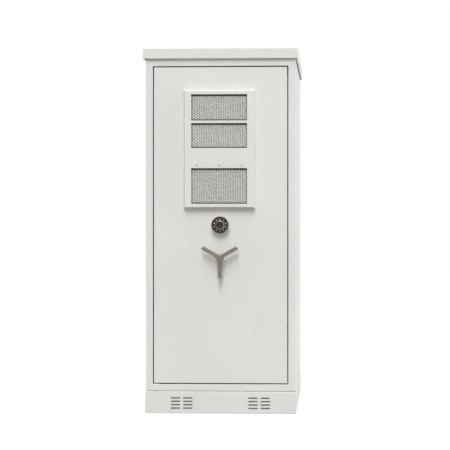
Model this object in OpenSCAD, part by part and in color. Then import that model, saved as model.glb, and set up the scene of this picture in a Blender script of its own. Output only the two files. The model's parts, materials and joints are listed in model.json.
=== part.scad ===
// Roadside utility cabinet: a folded sheet-metal carcass on a plinth, with one inset door that
// swings on concealed pivots, a ventilated cover, a dial lock and a three-spoke handle that throws bolts.
// Millimetres, +Z up, front towards -Y, origin on the floor under the middle of the cabinet.

/* [Body] */
// Width of the body
body_w = 742; // [640:1:1000]
// Depth of the body
body_d = 742; // [700:1:1000]
// Height from the floor to the top of the roof cap
total_h = 1806; // [1760:1:2200]
// Sheet thickness of the panels
sheet_t = 2; // [1.5:0.25:3]
// Width of the folded panel flanges
flange_w = 18; // [14:1:24]
// Depth of the front frame
frame_depth = 40; // [36:1:60]

/* [Plinth] */
// Height of the plinth
plinth_h = 109; // [95:1:160]
// How far the plinth stands out past the body
plinth_proud = 3; // [1:1:8]
// Sheet thickness of the plinth
plinth_t = 2.5; // [2:0.5:4]
// Width of the flange that lies on the floor
foot_flange_w = 40; // [36:1:60]
// Width of the flange under the floor panel
top_flange_w = 45; // [42:1:60]
// Depth of the shadow gap between the plinth and the body
shadow_gap = 10; // [2:1:14]
// Distance from the plinth's edge to the anchor holes
anchor_inset = 24; // [16:1:28]
// Diameter of the anchor holes
anchor_d = 14; // [10:1:18]
// Length of a plinth slot
slot_len = 47.5; // [30:0.5:54]
// Height of a plinth slot
slot_h = 7; // [4:0.5:10]
// Rows of slots
slot_rows = 4; // [2:1:4]
// Vertical pitch of the slots
slot_pitch_z = 16.8; // [14:0.1:18]
// Horizontal pitch of the slots
slot_pitch_x = 61; // [56:1:80]
// Distance from the middle to the middle of a slot group
slot_group_x = 192; // [120:1:240]
// Height of the middle of the slots
slot_mid_z = 51.5; // [45:0.5:60]

/* [Roof] */
// How far the cap stands out past the body
cap_overhang = 12; // [10:1:30]
// Height of the cap's skirt
cap_skirt = 52; // [44:1:80]
// How far the skirt hangs down over the body
cap_lap = 22; // [10:1:26]
// Width of the hem at the skirt's lower edge
cap_hem = 6; // [3:1:7]
// Diameter of the roof spacers
spacer_d = 30; // [20:1:40]
// Distance from the middle to the roof spacers
spacer_reach = 250; // [200:1:280]
// Diameter of the roof studs
stud_d = 8; // [6:1:10]

/* [Door] */
// Visible width of the frame round the door
frame_border = 35; // [32:1:50]
// Gap between door and frame
door_gap = 6; // [5:0.5:8]
// Depth of the door pan
door_depth = 38; // [36:1:44]
// Diameter of the pivot pins
pivot_d = 10; // [8:1:12]
// Wall of the pivot bushes
bush_wall = 2.5; // [2:0.25:4]
// Length of the pivot bushes inside the door
bush_len = 16; // [10:1:30]
// Distance from the door's edge to the gasket
gasket_inset = 21; // [20:1:28]
// Width of the gasket
gasket_w = 10; // [6:1:14]
// Thickness of the gasket
gasket_t = 8; // [5:1:12]
// Width of a door stiffener
stiffener_w = 40; // [30:1:50]
// Depth of a door stiffener
stiffener_t = 14; // [8:1:14]
// Distance from the middle to the stiffeners
stiffener_x = 226; // [210:1:228]

/* [Vent cover] */
// Width of the vent cover's face
vent_w = 338; // [310:1:360]
// Place of the vent cover, to the right of the door's middle
vent_shift = -4; // [-10:1:10]
// Depth of the vent cover
vent_depth = 26; // [22:1:40]
// Run of the slanted flanks
vent_flank = 10; // [4:1:20]
// Sheet thickness of the vent cover
vent_t = 1.5; // [1:0.25:2.5]
// Distance from the door's top edge down to the vent face
vent_drop = 121; // [60:1:160]
// Plain strip above and below the windows
vent_edge = 16; // [14:1:24]
// Width of the windows
window_w = 276; // [250:1:280]
// Height of the lowest window
window_low_h = 175; // [120:1:178]
// Height of the blank strip over the lowest window
vent_blank = 100; // [80:1:120]
// Height of the middle window
window_mid_h = 122; // [116:1:130]
// Bar between the two upper windows
vent_bar = 13; // [10:1:16]
// Height of the top window
window_top_h = 129; // [120:1:135]
// Depth of the lips folded in round the windows
lip_depth = 8; // [4:1:12]
// Thickness of the mesh sheets
mesh_t = 1.5; // [1:0.25:2]
// Width of one mesh opening
mesh_gap_w = 34; // [30:1:44]
// Height of one mesh opening
mesh_gap_h = 23; // [20:1:30]
// Width of the mesh strands
mesh_strand = 6; // [5:0.5:8]
// Height of the rivets above the lowest window
rivet_rise = 14; // [12:1:24]
// Spacing of the rivets
rivet_pitch = 110; // [80:1:125]
// Diameter of the rivet heads
rivet_d = 8; // [6:0.5:10]

/* [Fans] */
// Side of a fan frame
fan_size = 120; // [110:1:124]
// Depth of a fan frame
fan_depth = 38; // [32:1:45]
// Bore of a fan frame
fan_bore = 112; // [90:1:114]
// Diameter of a rotor hub
fan_hub_d = 46; // [36:1:54]
// Blades on a rotor
blade_count = 7; // [5:1:9]
// Gap between blade tips and bore
blade_gap = 2; // [1:0.5:4]
// Diameter of the fan shafts
fan_shaft_d = 6; // [4:1:8]

/* [Dial lock] */
// Distance from the vent face down to the dial's middle
dial_drop = 89; // [75:1:140]
// Outer diameter of the dial ring
dial_ring_d = 88; // [80:1:100]
// Depth of the dial ring
dial_ring_h = 26; // [16:1:34]
// Diameter of the dial
dial_d = 80; // [70:1:84]
// Diameter of the dial's knob
knob_d = 38; // [30:1:44]
// Length of the dial's knob
knob_len = 14; // [10:1:24]
// Grips round the knob
knob_grips = 24; // [12:1:36]
// Diameter of the dial spindle
dial_spindle_d = 8; // [6:1:10]
// Width of the lock case
lock_w = 90; // [70:1:110]
// Height of the lock case
lock_h = 110; // [90:1:120]
// Depth of the lock case
lock_t = 30; // [22:1:36]

/* [Handle] */
// Distance from the dial down to the handle's axis
handle_drop = 161; // [145:1:220]
// Diameter of the handle's hub
hub_d = 40; // [34:1:50]
// Diameter of a spoke
spoke_d = 19; // [12:1:22]
// Length of a spoke from the axis
spoke_len = 101; // [70:1:120]
// Chamfer at the end of a spoke
spoke_chamfer = 2.5; // [1:0.5:4]
// Distance from the door to the middle of the spokes
handle_standoff = 36; // [32:1:60]
// Diameter of the handle's spindle
spindle_d = 16; // [12:1:18]

/* [Boltwork] */
// Radius of the cam pins
pin_r = 24; // [22:1:26]
// Diameter of the cam pins
pin_d = 8; // [6:0.5:9]
// Thickness of the cam and of the flat bars
bar_t = 5; // [4:0.5:5.5]
// Gap between layers of the boltwork
layer_gap = 2; // [1:0.5:2.5]
// Diameter of the side bolts
bolt_d = 20; // [14:1:21]
// Distance from the door's lower edge to the lowest side bolt
bolt_low_inset = 179; // [80:1:300]
// Diameter of the rods
rod_d = 14; // [10:1:16]
// Distance from the middle to the rods
rod_reach = 155; // [152:1:175]
// Length of the guides at the door's edges
guide_len = 14; // [8:1:20]
// Wall of the guides
guide_wall = 4; // [2:0.5:4]

/* [Rack] */
// Plain length at each end of a rail
rail_end = 48; // [40:1:120]
// Diameter of the rail holes
rail_hole_d = 7; // [5:0.5:9]
// Width of a rail's front face
rail_face_w = 40; // [34:1:48]
// Depth of a rail
rail_depth = 40; // [30:1:60]
// Width of a rail's rear flange
rail_flange_w = 20; // [16:1:30]
// Distance from the front of the body to the rails
rail_setback = 76; // [70:1:110]
// Height of a crossbar
crossbar_h = 40; // [30:1:60]
// Depth of a crossbar
crossbar_t = 20; // [15:1:30]
// Height of the lower crossbars above the floor panel
crossbar_rise = 48; // [30:1:60]
// Distance from the top panel down to the upper crossbars
crossbar_drop = 88; // [60:1:120]

/* [Floor and earth] */
// Width of the gland plate
gland_w = 400; // [300:1:430]
// Depth of the gland plate
gland_d = 240; // [160:1:300]
// Diameter of the grommet holes
grommet_d = 50; // [30:1:60]
// Spacing of the grommets
grommet_pitch = 85; // [75:1:95]
// Length of the earth bar
earth_len = 300; // [200:1:400]
// Height of the earth bar
earth_h = 25; // [20:1:40]
// Height of the earth bar's middle above the floor panel
earth_rise = 130; // [80:1:200]

/* [Hidden] */
$fn = 48;
run_fit = 0.05;
seat_gap = 0.3;
screw_fit = 0.1;
through = 5;

// Main planes of the carcass
side_x = body_w / 2;
front_y = -body_d / 2;
back_y = body_d / 2;
wall_z0 = plinth_h + sheet_t;
wall_z1 = total_h - cap_skirt + cap_lap - sheet_t;
side_front_y = front_y + frame_depth;

// Door opening, door and hinge
open_x = side_x - frame_border;
open_z0 = plinth_h + frame_border;
open_z1 = total_h - cap_skirt - frame_border;
door_x = open_x - door_gap;
door_z0 = open_z0 + door_gap;
door_z1 = open_z1 - door_gap;
skin_y = front_y + sheet_t;
door_back_y = front_y + door_depth;
door_flange_w = gasket_inset + gasket_w + 3;
lip_y = door_back_y + seat_gap + gasket_t;
lip_x = door_x - door_flange_w;
bush_d = pivot_d + 2 * bush_wall;
hinge_inset = sheet_t + bush_d / 2 + 0.5;
pivot_x = -door_x + hinge_inset;
pivot_y = front_y + hinge_inset;
pivot_play = 2 * run_fit;
pivot_ring_t = (door_gap - pivot_play) / 3;
pivot_ring_d = bush_d + 3;
pivot_nut_d = 1.75 * pivot_d;
pivot_nut_t = 0.8 * pivot_d;

// Vent cover, windows listed from the lowest to the top one, and fans
vent_face_y = front_y - vent_depth;
mesh_y = vent_face_y + lip_depth;
vent_z1 = door_z1 - vent_drop;
window_top_z = vent_z1 - vent_edge - window_top_h;
window_mid_z = window_top_z - vent_bar - window_mid_h;
window_low_z = window_mid_z - vent_blank - window_low_h;
vent_z0 = window_low_z - vent_edge;
windows = [
    [window_low_z, window_low_h],
    [window_mid_z, window_mid_h],
    [window_top_z, window_top_h]
];
mesh_margin = 10;
rivet_z = window_low_z + window_low_h + rivet_rise;
rivet_xs = [-rivet_pitch, 0, rivet_pitch];
fan_zs = [window_mid_z + window_mid_h / 2, window_top_z + window_top_h / 2];
fan_back_y = skin_y + fan_depth;
fan_hole_pitch = fan_size - 15;
fan_screw_d = 4.3;
guard_t = 2;
spider_t = 4;
rotor_y0 = skin_y + 6;
rotor_y1 = fan_back_y - spider_t - 4;

// Handle and boltwork, in layers behind the door skin
dial_z = vent_z0 - dial_drop;
handle_z = dial_z - handle_drop;
spoke_y = front_y - handle_standoff;
bush_flange_t = 3;
handle_bush_d = spindle_d + 8;
cam_y = skin_y + 10;
link_y = cam_y + bar_t + layer_gap;
yoke_y = link_y + bar_t + layer_gap;
bolt_y = link_y + bar_t / 2;
half_turn = 30;
stroke = 2 * pin_r * sin(half_turn);
pin_slot = pin_d + 1.2;
cam_d = 2 * pin_r + 2 * pin_d;
link_h = 18;
link_z0 = pin_r * sin(half_turn) + pin_d / 2 + 2;
yoke_h = pin_slot + 15;
tip_recess = 1.5;
bolt_bar_w = 20;
bolt_bar_x1 = door_x - sheet_t - guide_len - stroke - 2;
bolt_low_z = door_z0 + bolt_low_inset;
bolt_zs = [bolt_low_z, handle_z, 2 * handle_z - bolt_low_z];
saddle_w = rod_d + 12;
saddle_h = 20;
rod_low_saddle_z = (door_z0 + handle_z) / 2;
rod_high_saddle_z = (handle_z + door_z1) / 2;

// Dial lock
dial_t = 6;
dial_float = 1;
dial_rise = dial_ring_h - dial_t - 2;
knob_groove_d = 2.4;

// Rails, crossbars and fasteners
rack_unit = 44.45;
rail_hole_pitch = 465.1;
rail_inner_x = rail_hole_pitch / 2 - rail_hole_d / 2 - 4;
rail_web_x = rail_inner_x + rail_face_w;
rail_y = front_y + rail_setback;
crossbar_y = rail_y + rail_depth;
crossbar_low_z = wall_z0 + crossbar_rise;
crossbar_high_z = wall_z1 - crossbar_drop - crossbar_h;
rail_z0 = crossbar_low_z;
rail_z1 = crossbar_high_z + crossbar_h;
rack_units = floor((rail_z1 - rail_z0 - 2 * rail_end) / rack_unit);
screw_d = 6;
screw_head_d = 11;
screw_head_t = 3;
panel_screw_zs = [for (i = [0:5]) wall_z0 + 60 + i * (wall_z1 - wall_z0 - 120) / 5];
panel_screw_x = side_x - flange_w / 2;
rail_screw_x = rail_web_x + rail_flange_w / 2;
rail_screw_zs = [
    for (bar_z = [crossbar_low_z, crossbar_high_z], side = [-1, 1])
        bar_z + crossbar_h / 2 + side * crossbar_h / 4
];
plinth_bolt_d = 8;
plinth_bolt_x = side_x - flange_w - 9;
plinth_bolt_ys = [-body_d / 3, 0, body_d / 3];
lip_z0 = door_z0 + door_flange_w;
lip_z1 = door_z1 - door_flange_w;

// Floor and earth
gland_y = 60;
gland_lap = 20;
grommet_xs = [for (i = [-1.5:1:1.5]) i * grommet_pitch];
earth_t = 6;
earth_gap = 20;
earth_z = wall_z0 + earth_rise;
earth_y1 = back_y - sheet_t - earth_gap;

// Colours
paint = [0.86, 0.865, 0.855];
zinc = [0.70, 0.72, 0.73];
dark = [0.16, 0.15, 0.15];
nickel = [0.52, 0.49, 0.46];

// Box between two corners
module block(x0, x1, y0, y1, z0, z1) {
    translate([x0, y0, z0]) cube([x1 - x0, y1 - y0, z1 - z0]);
}

// Box that is symmetric about the middle in x
module wide_block(half_x, y0, y1, z0, z1) {
    block(-half_x, half_x, y0, y1, z0, z1);
}

// Round bars along the three axes
module bar_along_x(d, y, z, x0, x1) {
    translate([x0, y, z]) rotate([0, 90, 0]) cylinder(d = d, h = x1 - x0);
}

module bar_along_y(d, x, z, y0, y1) {
    translate([x, y0, z]) rotate([-90, 0, 0]) cylinder(d = d, h = y1 - y0);
}

module bar_along_z(d, x, y, z0, z1) {
    translate([x, y, z0]) cylinder(d = d, h = z1 - z0);
}

// Turns children so that their +Z points out of the door's front
module facing(x, y, z) {
    translate([x, y, z]) rotate([90, 0, 0]) children();
}

// Carcass

module plinth() {
    half_x = side_x + plinth_proud;
    half_y = back_y + plinth_proud;
    color(paint) difference() {
        wide_block(half_x, -half_y, half_y, 0, plinth_h);
        wide_block(half_x - plinth_t, -half_y + plinth_t, half_y - plinth_t, plinth_t, plinth_h - plinth_t);
        wide_block(half_x - foot_flange_w, -half_y + foot_flange_w, half_y - foot_flange_w,
            -through, plinth_h / 2);
        wide_block(half_x - top_flange_w, -half_y + top_flange_w, half_y - top_flange_w,
            plinth_h / 2, plinth_h + through);
        for (x = [-1, 1] * (half_x - anchor_inset), y = [-1, 1] * (half_y - anchor_inset))
            bar_along_z(anchor_d, x, y, -through, plinth_t + through);
        for (x = [-1, 1] * plinth_bolt_x, y = plinth_bolt_ys)
            bar_along_z(plinth_bolt_d + 2 * screw_fit, x, y, plinth_h - plinth_t - 1, plinth_h + 1);
        for (group = [-1, 1] * slot_group_x, column = [-0.5, 0.5], row = [0:slot_rows - 1])
            plinth_slot(group + column * slot_pitch_x,
                slot_mid_z + (row - (slot_rows - 1) / 2) * slot_pitch_z, -half_y);
    }
}

// Slot with round ends through the plinth's front
module plinth_slot(x, z, y) {
    half_run = (slot_len - slot_h) / 2;
    block(x - half_run, x + half_run, y - 1, y + plinth_t + 1, z - slot_h / 2, z + slot_h / 2);
    for (side = [-1, 1])
        bar_along_y(slot_h, x + side * half_run, z, y - 1, y + plinth_t + 1);
}

// Sheet between the plinth and the body, set back all round to leave a shadow gap
module floor_panel() {
    half_x = gland_w / 2 - gland_lap;
    half_y = gland_d / 2 - gland_lap;
    color(paint) difference() {
        wide_block(side_x - shadow_gap, front_y + shadow_gap, back_y - shadow_gap, plinth_h, wall_z0);
        wide_block(half_x, gland_y - half_y, gland_y + half_y, plinth_h - 1, wall_z0 + 1);
        for (x = [-1, 1] * plinth_bolt_x, y = plinth_bolt_ys)
            bar_along_z(plinth_bolt_d + 2 * screw_fit, x, y, plinth_h - 1, wall_z0 + 1);
    }
}

module gland_plate() {
    color(zinc) difference() {
        wide_block(gland_w / 2, gland_y - gland_d / 2, gland_y + gland_d / 2, wall_z0, wall_z0 + sheet_t);
        for (x = grommet_xs)
            bar_along_z(grommet_d, x, gland_y, wall_z0 - 1, wall_z0 + sheet_t + 1);
    }
}

// Closed rubber grommets: a collar above and below the plate and a nipple to cut for a cable
module cable_grommets() {
    collar = 3;
    nipple_h = 18;
    color(dark) for (x = grommet_xs) {
        bar_along_z(grommet_d, x, gland_y, wall_z0 - collar, wall_z0 + sheet_t + collar);
        bar_along_z(grommet_d + 4 * collar, x, gland_y, wall_z0 + sheet_t, wall_z0 + sheet_t + collar);
        bar_along_z(grommet_d + 2 * collar, x, gland_y, wall_z0 - collar, wall_z0);
        translate([x, gland_y, wall_z0 + sheet_t + collar])
            cylinder(d1 = grommet_d - 2 * collar, d2 = grommet_d / 3, h = nipple_h);
    }
}

// Tray with flanges folded in on all four edges
module side_panel() {
    color(paint) difference() {
        block(-side_x, flange_w - side_x, side_front_y, back_y - sheet_t, wall_z0, wall_z1);
        block(sheet_t - side_x, flange_w - side_x + through, side_front_y + sheet_t, back_y - 2 * sheet_t,
            wall_z0 + sheet_t, wall_z1 - sheet_t);
        for (z = panel_screw_zs)
            bar_along_y(screw_d + 2 * screw_fit, -panel_screw_x, z, back_y - 3 * sheet_t, back_y);
    }
}

module left_side_panel() {
    side_panel();
}

module right_side_panel() {
    mirror([1, 0, 0]) side_panel();
}

module rear_panel() {
    color(paint) difference() {
        wide_block(side_x, back_y - sheet_t, back_y, wall_z0, wall_z1);
        for (x = [-1, 1] * panel_screw_x, z = panel_screw_zs)
            bar_along_y(screw_d + 2 * screw_fit, x, z, back_y - sheet_t - 1, back_y + 1);
    }
}

module top_panel() {
    color(paint) difference() {
        wide_block(side_x, front_y, back_y, wall_z1, wall_z1 + sheet_t);
        for (x = [-1, 1] * spacer_reach, y = [-1, 1] * spacer_reach)
            bar_along_z(stud_d + 2 * screw_fit, x, y, wall_z1 - 1, wall_z1 + sheet_t + 1);
    }
}

// Folded ring round the door: a face, an outer return, and an inner return with the gasket lip
module front_frame() {
    color(paint) difference() {
        union() {
            difference() {
                wide_block(side_x, front_y, side_front_y, wall_z0, wall_z1);
                wide_block(side_x - sheet_t, skin_y, side_front_y - sheet_t,
                    wall_z0 + sheet_t, wall_z1 - sheet_t);
                wide_block(side_x - flange_w, skin_y, side_front_y + through,
                    wall_z0 + flange_w, wall_z1 - flange_w);
            }
            wide_block(open_x + sheet_t, front_y, lip_y + sheet_t, open_z0 - sheet_t, open_z1 + sheet_t);
        }
        wide_block(open_x, front_y - through, lip_y, open_z0, open_z1);
        wide_block(lip_x, front_y, lip_y + sheet_t + through, lip_z0, lip_z1);
        for (z = [open_z0 - sheet_t, open_z1])
            bar_along_z(pivot_d, pivot_x, pivot_y, z - 1, z + sheet_t + 1);
        for (z = bolt_zs)
            bar_along_x(bolt_d + 4, bolt_y, z, open_x - 1, open_x + sheet_t + 1);
        bar_along_z(rod_d + 4, -rod_reach, bolt_y, open_z1 - 1, open_z1 + sheet_t + 1);
        bar_along_z(rod_d + 4, rod_reach, bolt_y, open_z0 - sheet_t - 1, open_z0 + 1);
    }
}

// Cap with a deep skirt and a hem turned in at its lower edge
module roof_cap() {
    half_x = side_x + cap_overhang;
    half_y = back_y + cap_overhang;
    hem = sheet_t + cap_hem;
    skirt_z = total_h - cap_skirt;
    color(paint) difference() {
        wide_block(half_x, -half_y, half_y, skirt_z, total_h);
        wide_block(half_x - sheet_t, sheet_t - half_y, half_y - sheet_t,
            skirt_z + sheet_t, total_h - sheet_t);
        wide_block(half_x - hem, hem - half_y, half_y - hem, skirt_z - through, skirt_z + 2 * sheet_t);
    }
}

module roof_spacers() {
    color(zinc) for (x = [-1, 1] * spacer_reach, y = [-1, 1] * spacer_reach)
        difference() {
            bar_along_z(spacer_d, x, y, wall_z1 + sheet_t, total_h - sheet_t);
            bar_along_z(stud_d + 2 * screw_fit, x, y, wall_z1, total_h);
        }
}

// Studs welded under the cap, each with its nut below the top panel
module roof_studs() {
    nut_t = 0.8 * stud_d;
    color(zinc) for (x = [-1, 1] * spacer_reach, y = [-1, 1] * spacer_reach) {
        bar_along_z(stud_d, x, y, wall_z1 - nut_t - 4, total_h - sheet_t);
        translate([x, y, wall_z1 - nut_t]) cylinder(d = 1.9 * stud_d, h = nut_t, $fn = 6);
    }
}

// Channel from side panel to side panel, closed at its ends
module front_crossbar(z) {
    half_x = side_x - sheet_t;
    color(zinc) difference() {
        wide_block(half_x, crossbar_y, crossbar_y + crossbar_t, z, z + crossbar_h);
        wide_block(half_x - sheet_t, crossbar_y + sheet_t, crossbar_y + crossbar_t + through,
            z + sheet_t, z + crossbar_h - sheet_t);
        for (x = [-1, 1] * rail_screw_x, screw_z = rail_screw_zs)
            bar_along_y(screw_d + 2 * screw_fit, x, screw_z, crossbar_y - 1, crossbar_y + sheet_t + 1);
    }
}

module lower_front_crossbar() {
    front_crossbar(crossbar_low_z);
}

module upper_front_crossbar() {
    front_crossbar(crossbar_high_z);
}

module lower_rear_crossbar() {
    mirror([0, 1, 0]) front_crossbar(crossbar_low_z);
}

module upper_rear_crossbar() {
    mirror([0, 1, 0]) front_crossbar(crossbar_high_z);
}

// Z-shaped rail with three holes in each rack unit
module rail() {
    hole_rises = [6.35, 22.225, 38.1];
    first_z = (rail_z0 + rail_z1 - rack_units * rack_unit) / 2;
    color(zinc) difference() {
        union() {
            block(rail_inner_x, rail_web_x, rail_y, rail_y + sheet_t, rail_z0, rail_z1);
            block(rail_web_x - sheet_t, rail_web_x, rail_y, crossbar_y, rail_z0, rail_z1);
            block(rail_web_x - sheet_t, rail_web_x + rail_flange_w, crossbar_y - sheet_t, crossbar_y,
                rail_z0, rail_z1);
        }
        for (unit = [0:rack_units - 1], rise = hole_rises)
            bar_along_y(rail_hole_d, rail_hole_pitch / 2, first_z + unit * rack_unit + rise,
                rail_y - 1, rail_y + sheet_t + 1);
        for (z = rail_screw_zs)
            bar_along_y(screw_d + 2 * screw_fit, rail_screw_x, z, crossbar_y - sheet_t - 1, crossbar_y + 1);
    }
}

module front_right_rail() {
    rail();
}

module front_left_rail() {
    mirror([1, 0, 0]) rail();
}

module rear_right_rail() {
    mirror([0, 1, 0]) rail();
}

module rear_left_rail() {
    mirror([1, 0, 0]) mirror([0, 1, 0]) rail();
}

module earth_bar() {
    hole_pitch = 30;
    hole_count = floor(earth_len / hole_pitch) - 1;
    color([0.72, 0.45, 0.30]) difference() {
        wide_block(earth_len / 2, earth_y1 - earth_t, earth_y1, earth_z - earth_h / 2, earth_z + earth_h / 2);
        for (i = [0:hole_count - 1])
            bar_along_y(earth_h / 3, (i - (hole_count - 1) / 2) * hole_pitch, earth_z,
                earth_y1 - earth_t - 1, earth_y1 + 1);
    }
}

module earth_standoffs() {
    color([0.55, 0.16, 0.12]) for (x = [-1, 1] * (earth_len / 2 - earth_h / 2))
        bar_along_y(0.8 * earth_h, x, earth_z, earth_y1, back_y - sheet_t);
}

module door_gasket() {
    outer_x = door_x - gasket_inset;
    inner_x = outer_x - gasket_w;
    outer_z0 = door_z0 + gasket_inset;
    outer_z1 = door_z1 - gasket_inset;
    color(dark) difference() {
        wide_block(outer_x, door_back_y + seat_gap, lip_y, outer_z0, outer_z1);
        wide_block(inner_x, door_back_y - 1, lip_y + 1, outer_z0 + gasket_w, outer_z1 - gasket_w);
    }
}

// Pivot pin that stands up from the frame: a stem with a collar that lies on the frame's return
module pivot_pin(z) {
    bar_along_z(pivot_d, pivot_x, pivot_y, z - sheet_t - pivot_nut_t - 2, z + door_gap + sheet_t + bush_len);
    bar_along_z(pivot_ring_d, pivot_x, pivot_y, z, z + pivot_ring_t);
}

module lower_pivot_pin() {
    color(zinc) pivot_pin(open_z0);
}

module upper_pivot_pin() {
    color(zinc) translate([0, 0, open_z1]) mirror([0, 0, 1]) pivot_pin(0);
}

module thrust_washer() {
    z = open_z0 + pivot_ring_t;
    color([0.75, 0.62, 0.35]) difference() {
        bar_along_z(pivot_ring_d, pivot_x, pivot_y, z, z + pivot_ring_t);
        bar_along_z(pivot_d + 2 * run_fit, pivot_x, pivot_y, z - 1, z + pivot_ring_t + 1);
    }
}

module pivot_nuts() {
    color(zinc) for (z = [open_z0 - sheet_t - pivot_nut_t, open_z1 + sheet_t])
        difference() {
            translate([pivot_x, pivot_y, z]) cylinder(d = pivot_nut_d, h = pivot_nut_t, $fn = 6);
            bar_along_z(pivot_d, pivot_x, pivot_y, z - 1, z + pivot_nut_t + 1);
        }
}

module panel_screws() {
    color(zinc) for (x = [-1, 1] * panel_screw_x, z = panel_screw_zs) {
        bar_along_y(screw_d, x, z, back_y - 3 * sheet_t, back_y);
        translate([x, back_y, z]) rotate([-90, 0, 0])
            cylinder(d1 = screw_head_d, d2 = 0.6 * screw_head_d, h = screw_head_t);
    }
}

module rail_screws() {
    color(zinc) for (flip_x = [0, 1], flip_y = [0, 1], z = rail_screw_zs)
        mirror([flip_x, 0, 0]) mirror([0, flip_y, 0]) {
            bar_along_y(screw_d, rail_screw_x, z, crossbar_y - sheet_t, crossbar_y + 2 * sheet_t);
            bar_along_y(screw_head_d, rail_screw_x, z, crossbar_y - sheet_t - screw_head_t,
                crossbar_y - sheet_t);
        }
}

module plinth_bolts() {
    head_t = 0.65 * plinth_bolt_d;
    hex_d = 1.9 * plinth_bolt_d;
    low_z = plinth_h - plinth_t;
    color(zinc) for (x = [-1, 1] * plinth_bolt_x, y = plinth_bolt_ys) {
        bar_along_z(plinth_bolt_d, x, y, low_z - head_t - 3, wall_z0 + head_t);
        for (z = [low_z - head_t, wall_z0])
            translate([x, y, z]) cylinder(d = hex_d, h = head_t, $fn = 6);
    }
}

// Door

// Pan with a flange turned in behind, pierced for the air, the lock, the handle and the bolts
module door_panel() {
    intake_x = window_w / 2 - mesh_margin;
    color(paint) difference() {
        wide_block(door_x, front_y, door_back_y, door_z0, door_z1);
        wide_block(door_x - sheet_t, skin_y, door_back_y - sheet_t, door_z0 + sheet_t, door_z1 - sheet_t);
        wide_block(lip_x, skin_y, door_back_y + through, lip_z0, lip_z1);
        at_vent() wide_block(intake_x, front_y - 1, skin_y + 1, window_low_z + mesh_margin,
            window_low_z + window_low_h - mesh_margin);
        for (fan_z = fan_zs) {
            bar_along_y(fan_bore, 0, fan_z, front_y - 1, skin_y + 1);
            fan_screw_places(fan_z)
                bar_along_y(fan_screw_d + 2 * screw_fit, 0, 0, front_y - 1, skin_y + 1);
        }
        bar_along_y(handle_bush_d, 0, handle_z, front_y - 1, skin_y + 1);
        bar_along_y(dial_spindle_d + 2, 0, dial_z, front_y - 1, skin_y + 1);
        for (z = bolt_zs)
            bar_along_x(bolt_d + 1, bolt_y, z, door_x - sheet_t - 1, door_x + 1);
        bar_along_z(rod_d + 1, -rod_reach, bolt_y, door_z1 - sheet_t - 1, door_z1 + 1);
        bar_along_z(rod_d + 1, rod_reach, bolt_y, door_z0 - 1, door_z0 + sheet_t + 1);
        for (z = [door_z0, door_z1 - sheet_t])
            bar_along_z(bush_d, pivot_x, pivot_y, z - 1, z + sheet_t + 1);
    }
}

// Two hat sections that stiffen the door skin
module door_stiffeners() {
    foot = 8;
    z0 = lip_z0 + 10;
    z1 = lip_z1 - 10;
    color(paint) for (x = [-1, 1] * stiffener_x)
        difference() {
            union() {
                block(x - stiffener_w / 2, x + stiffener_w / 2, skin_y, skin_y + sheet_t, z0, z1);
                block(x - stiffener_w / 2 + foot, x + stiffener_w / 2 - foot, skin_y, skin_y + stiffener_t,
                    z0, z1);
            }
            block(x - stiffener_w / 2 + foot + sheet_t, x + stiffener_w / 2 - foot - sheet_t, skin_y - 1,
                skin_y + stiffener_t - sheet_t, z0 - 1, z1 + 1);
        }
}

// Puts children in the vent cover's place across the door
module at_vent() {
    translate([vent_shift, 0, 0]) children();
}

// Pyramid frustum of the vent cover, shrunk by a wall and reaching back to the depth given
module vent_frustum(wall, back) {
    face_y = vent_face_y + wall;
    face_x = vent_w / 2 - wall;
    base_x = face_x + vent_flank;
    face_z0 = vent_z0 + wall;
    face_z1 = vent_z1 - wall;
    intersection() {
        translate([0, 0, vent_z0 - vent_flank]) linear_extrude(vent_z1 - vent_z0 + 2 * vent_flank)
            polygon([[-face_x, face_y], [face_x, face_y], [base_x, front_y], [base_x, back], [-base_x, back],
                [-base_x, front_y]]);
        translate([-base_x - 1, 0, 0]) rotate([90, 0, 90]) linear_extrude(2 * base_x + 2)
            polygon([[face_y, face_z0], [face_y, face_z1], [front_y, face_z1 + vent_flank],
                [back, face_z1 + vent_flank], [back, face_z0 - vent_flank], [front_y, face_z0 - vent_flank]]);
    }
}

// Shallow cover with slanted flanks and lips folded in round its three windows
module vent_cover() {
    color(paint) at_vent() difference() {
        union() {
            difference() {
                vent_frustum(0, front_y);
                vent_frustum(vent_t, front_y + through);
            }
            for (window = windows)
                wide_block(window_w / 2 + vent_t, vent_face_y, mesh_y, window[0] - vent_t,
                    window[0] + window[1] + vent_t);
        }
        for (window = windows)
            wide_block(window_w / 2, vent_face_y - 1, mesh_y + 1, window[0], window[0] + window[1]);
        for (x = rivet_xs)
            bar_along_y(rivet_d / 2 + 2 * screw_fit, x, rivet_z, vent_face_y - 1, vent_face_y + vent_t + 1);
    }
}

// Diamond openings of expanded metal, kept inside one window
module mesh_openings(window) {
    pitch_x = mesh_gap_w + mesh_strand;
    pitch_z = (mesh_gap_h + mesh_strand) / 2;
    columns = ceil(window_w / pitch_x / 2);
    rows = floor((window[1] - mesh_gap_h) / 2 / pitch_z);
    for (row = [-rows:rows], column = [-columns:columns]) {
        x = (column + (row % 2 == 0 ? 0 : 0.5)) * pitch_x;
        if (abs(x) + mesh_gap_w / 2 < window_w / 2)
            facing(x, mesh_y + mesh_t + 1, window[0] + window[1] / 2 + row * pitch_z)
                linear_extrude(mesh_t + 2)
                    polygon([[-mesh_gap_w / 2, 0], [0, -mesh_gap_h / 2], [mesh_gap_w / 2, 0],
                        [0, mesh_gap_h / 2]]);
    }
}

module upper_mesh() {
    color(zinc) at_vent() difference() {
        wide_block(window_w / 2 + mesh_margin, mesh_y, mesh_y + mesh_t, window_mid_z - mesh_margin,
            window_top_z + window_top_h + mesh_margin);
        mesh_openings(windows[1]);
        mesh_openings(windows[2]);
    }
}

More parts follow.
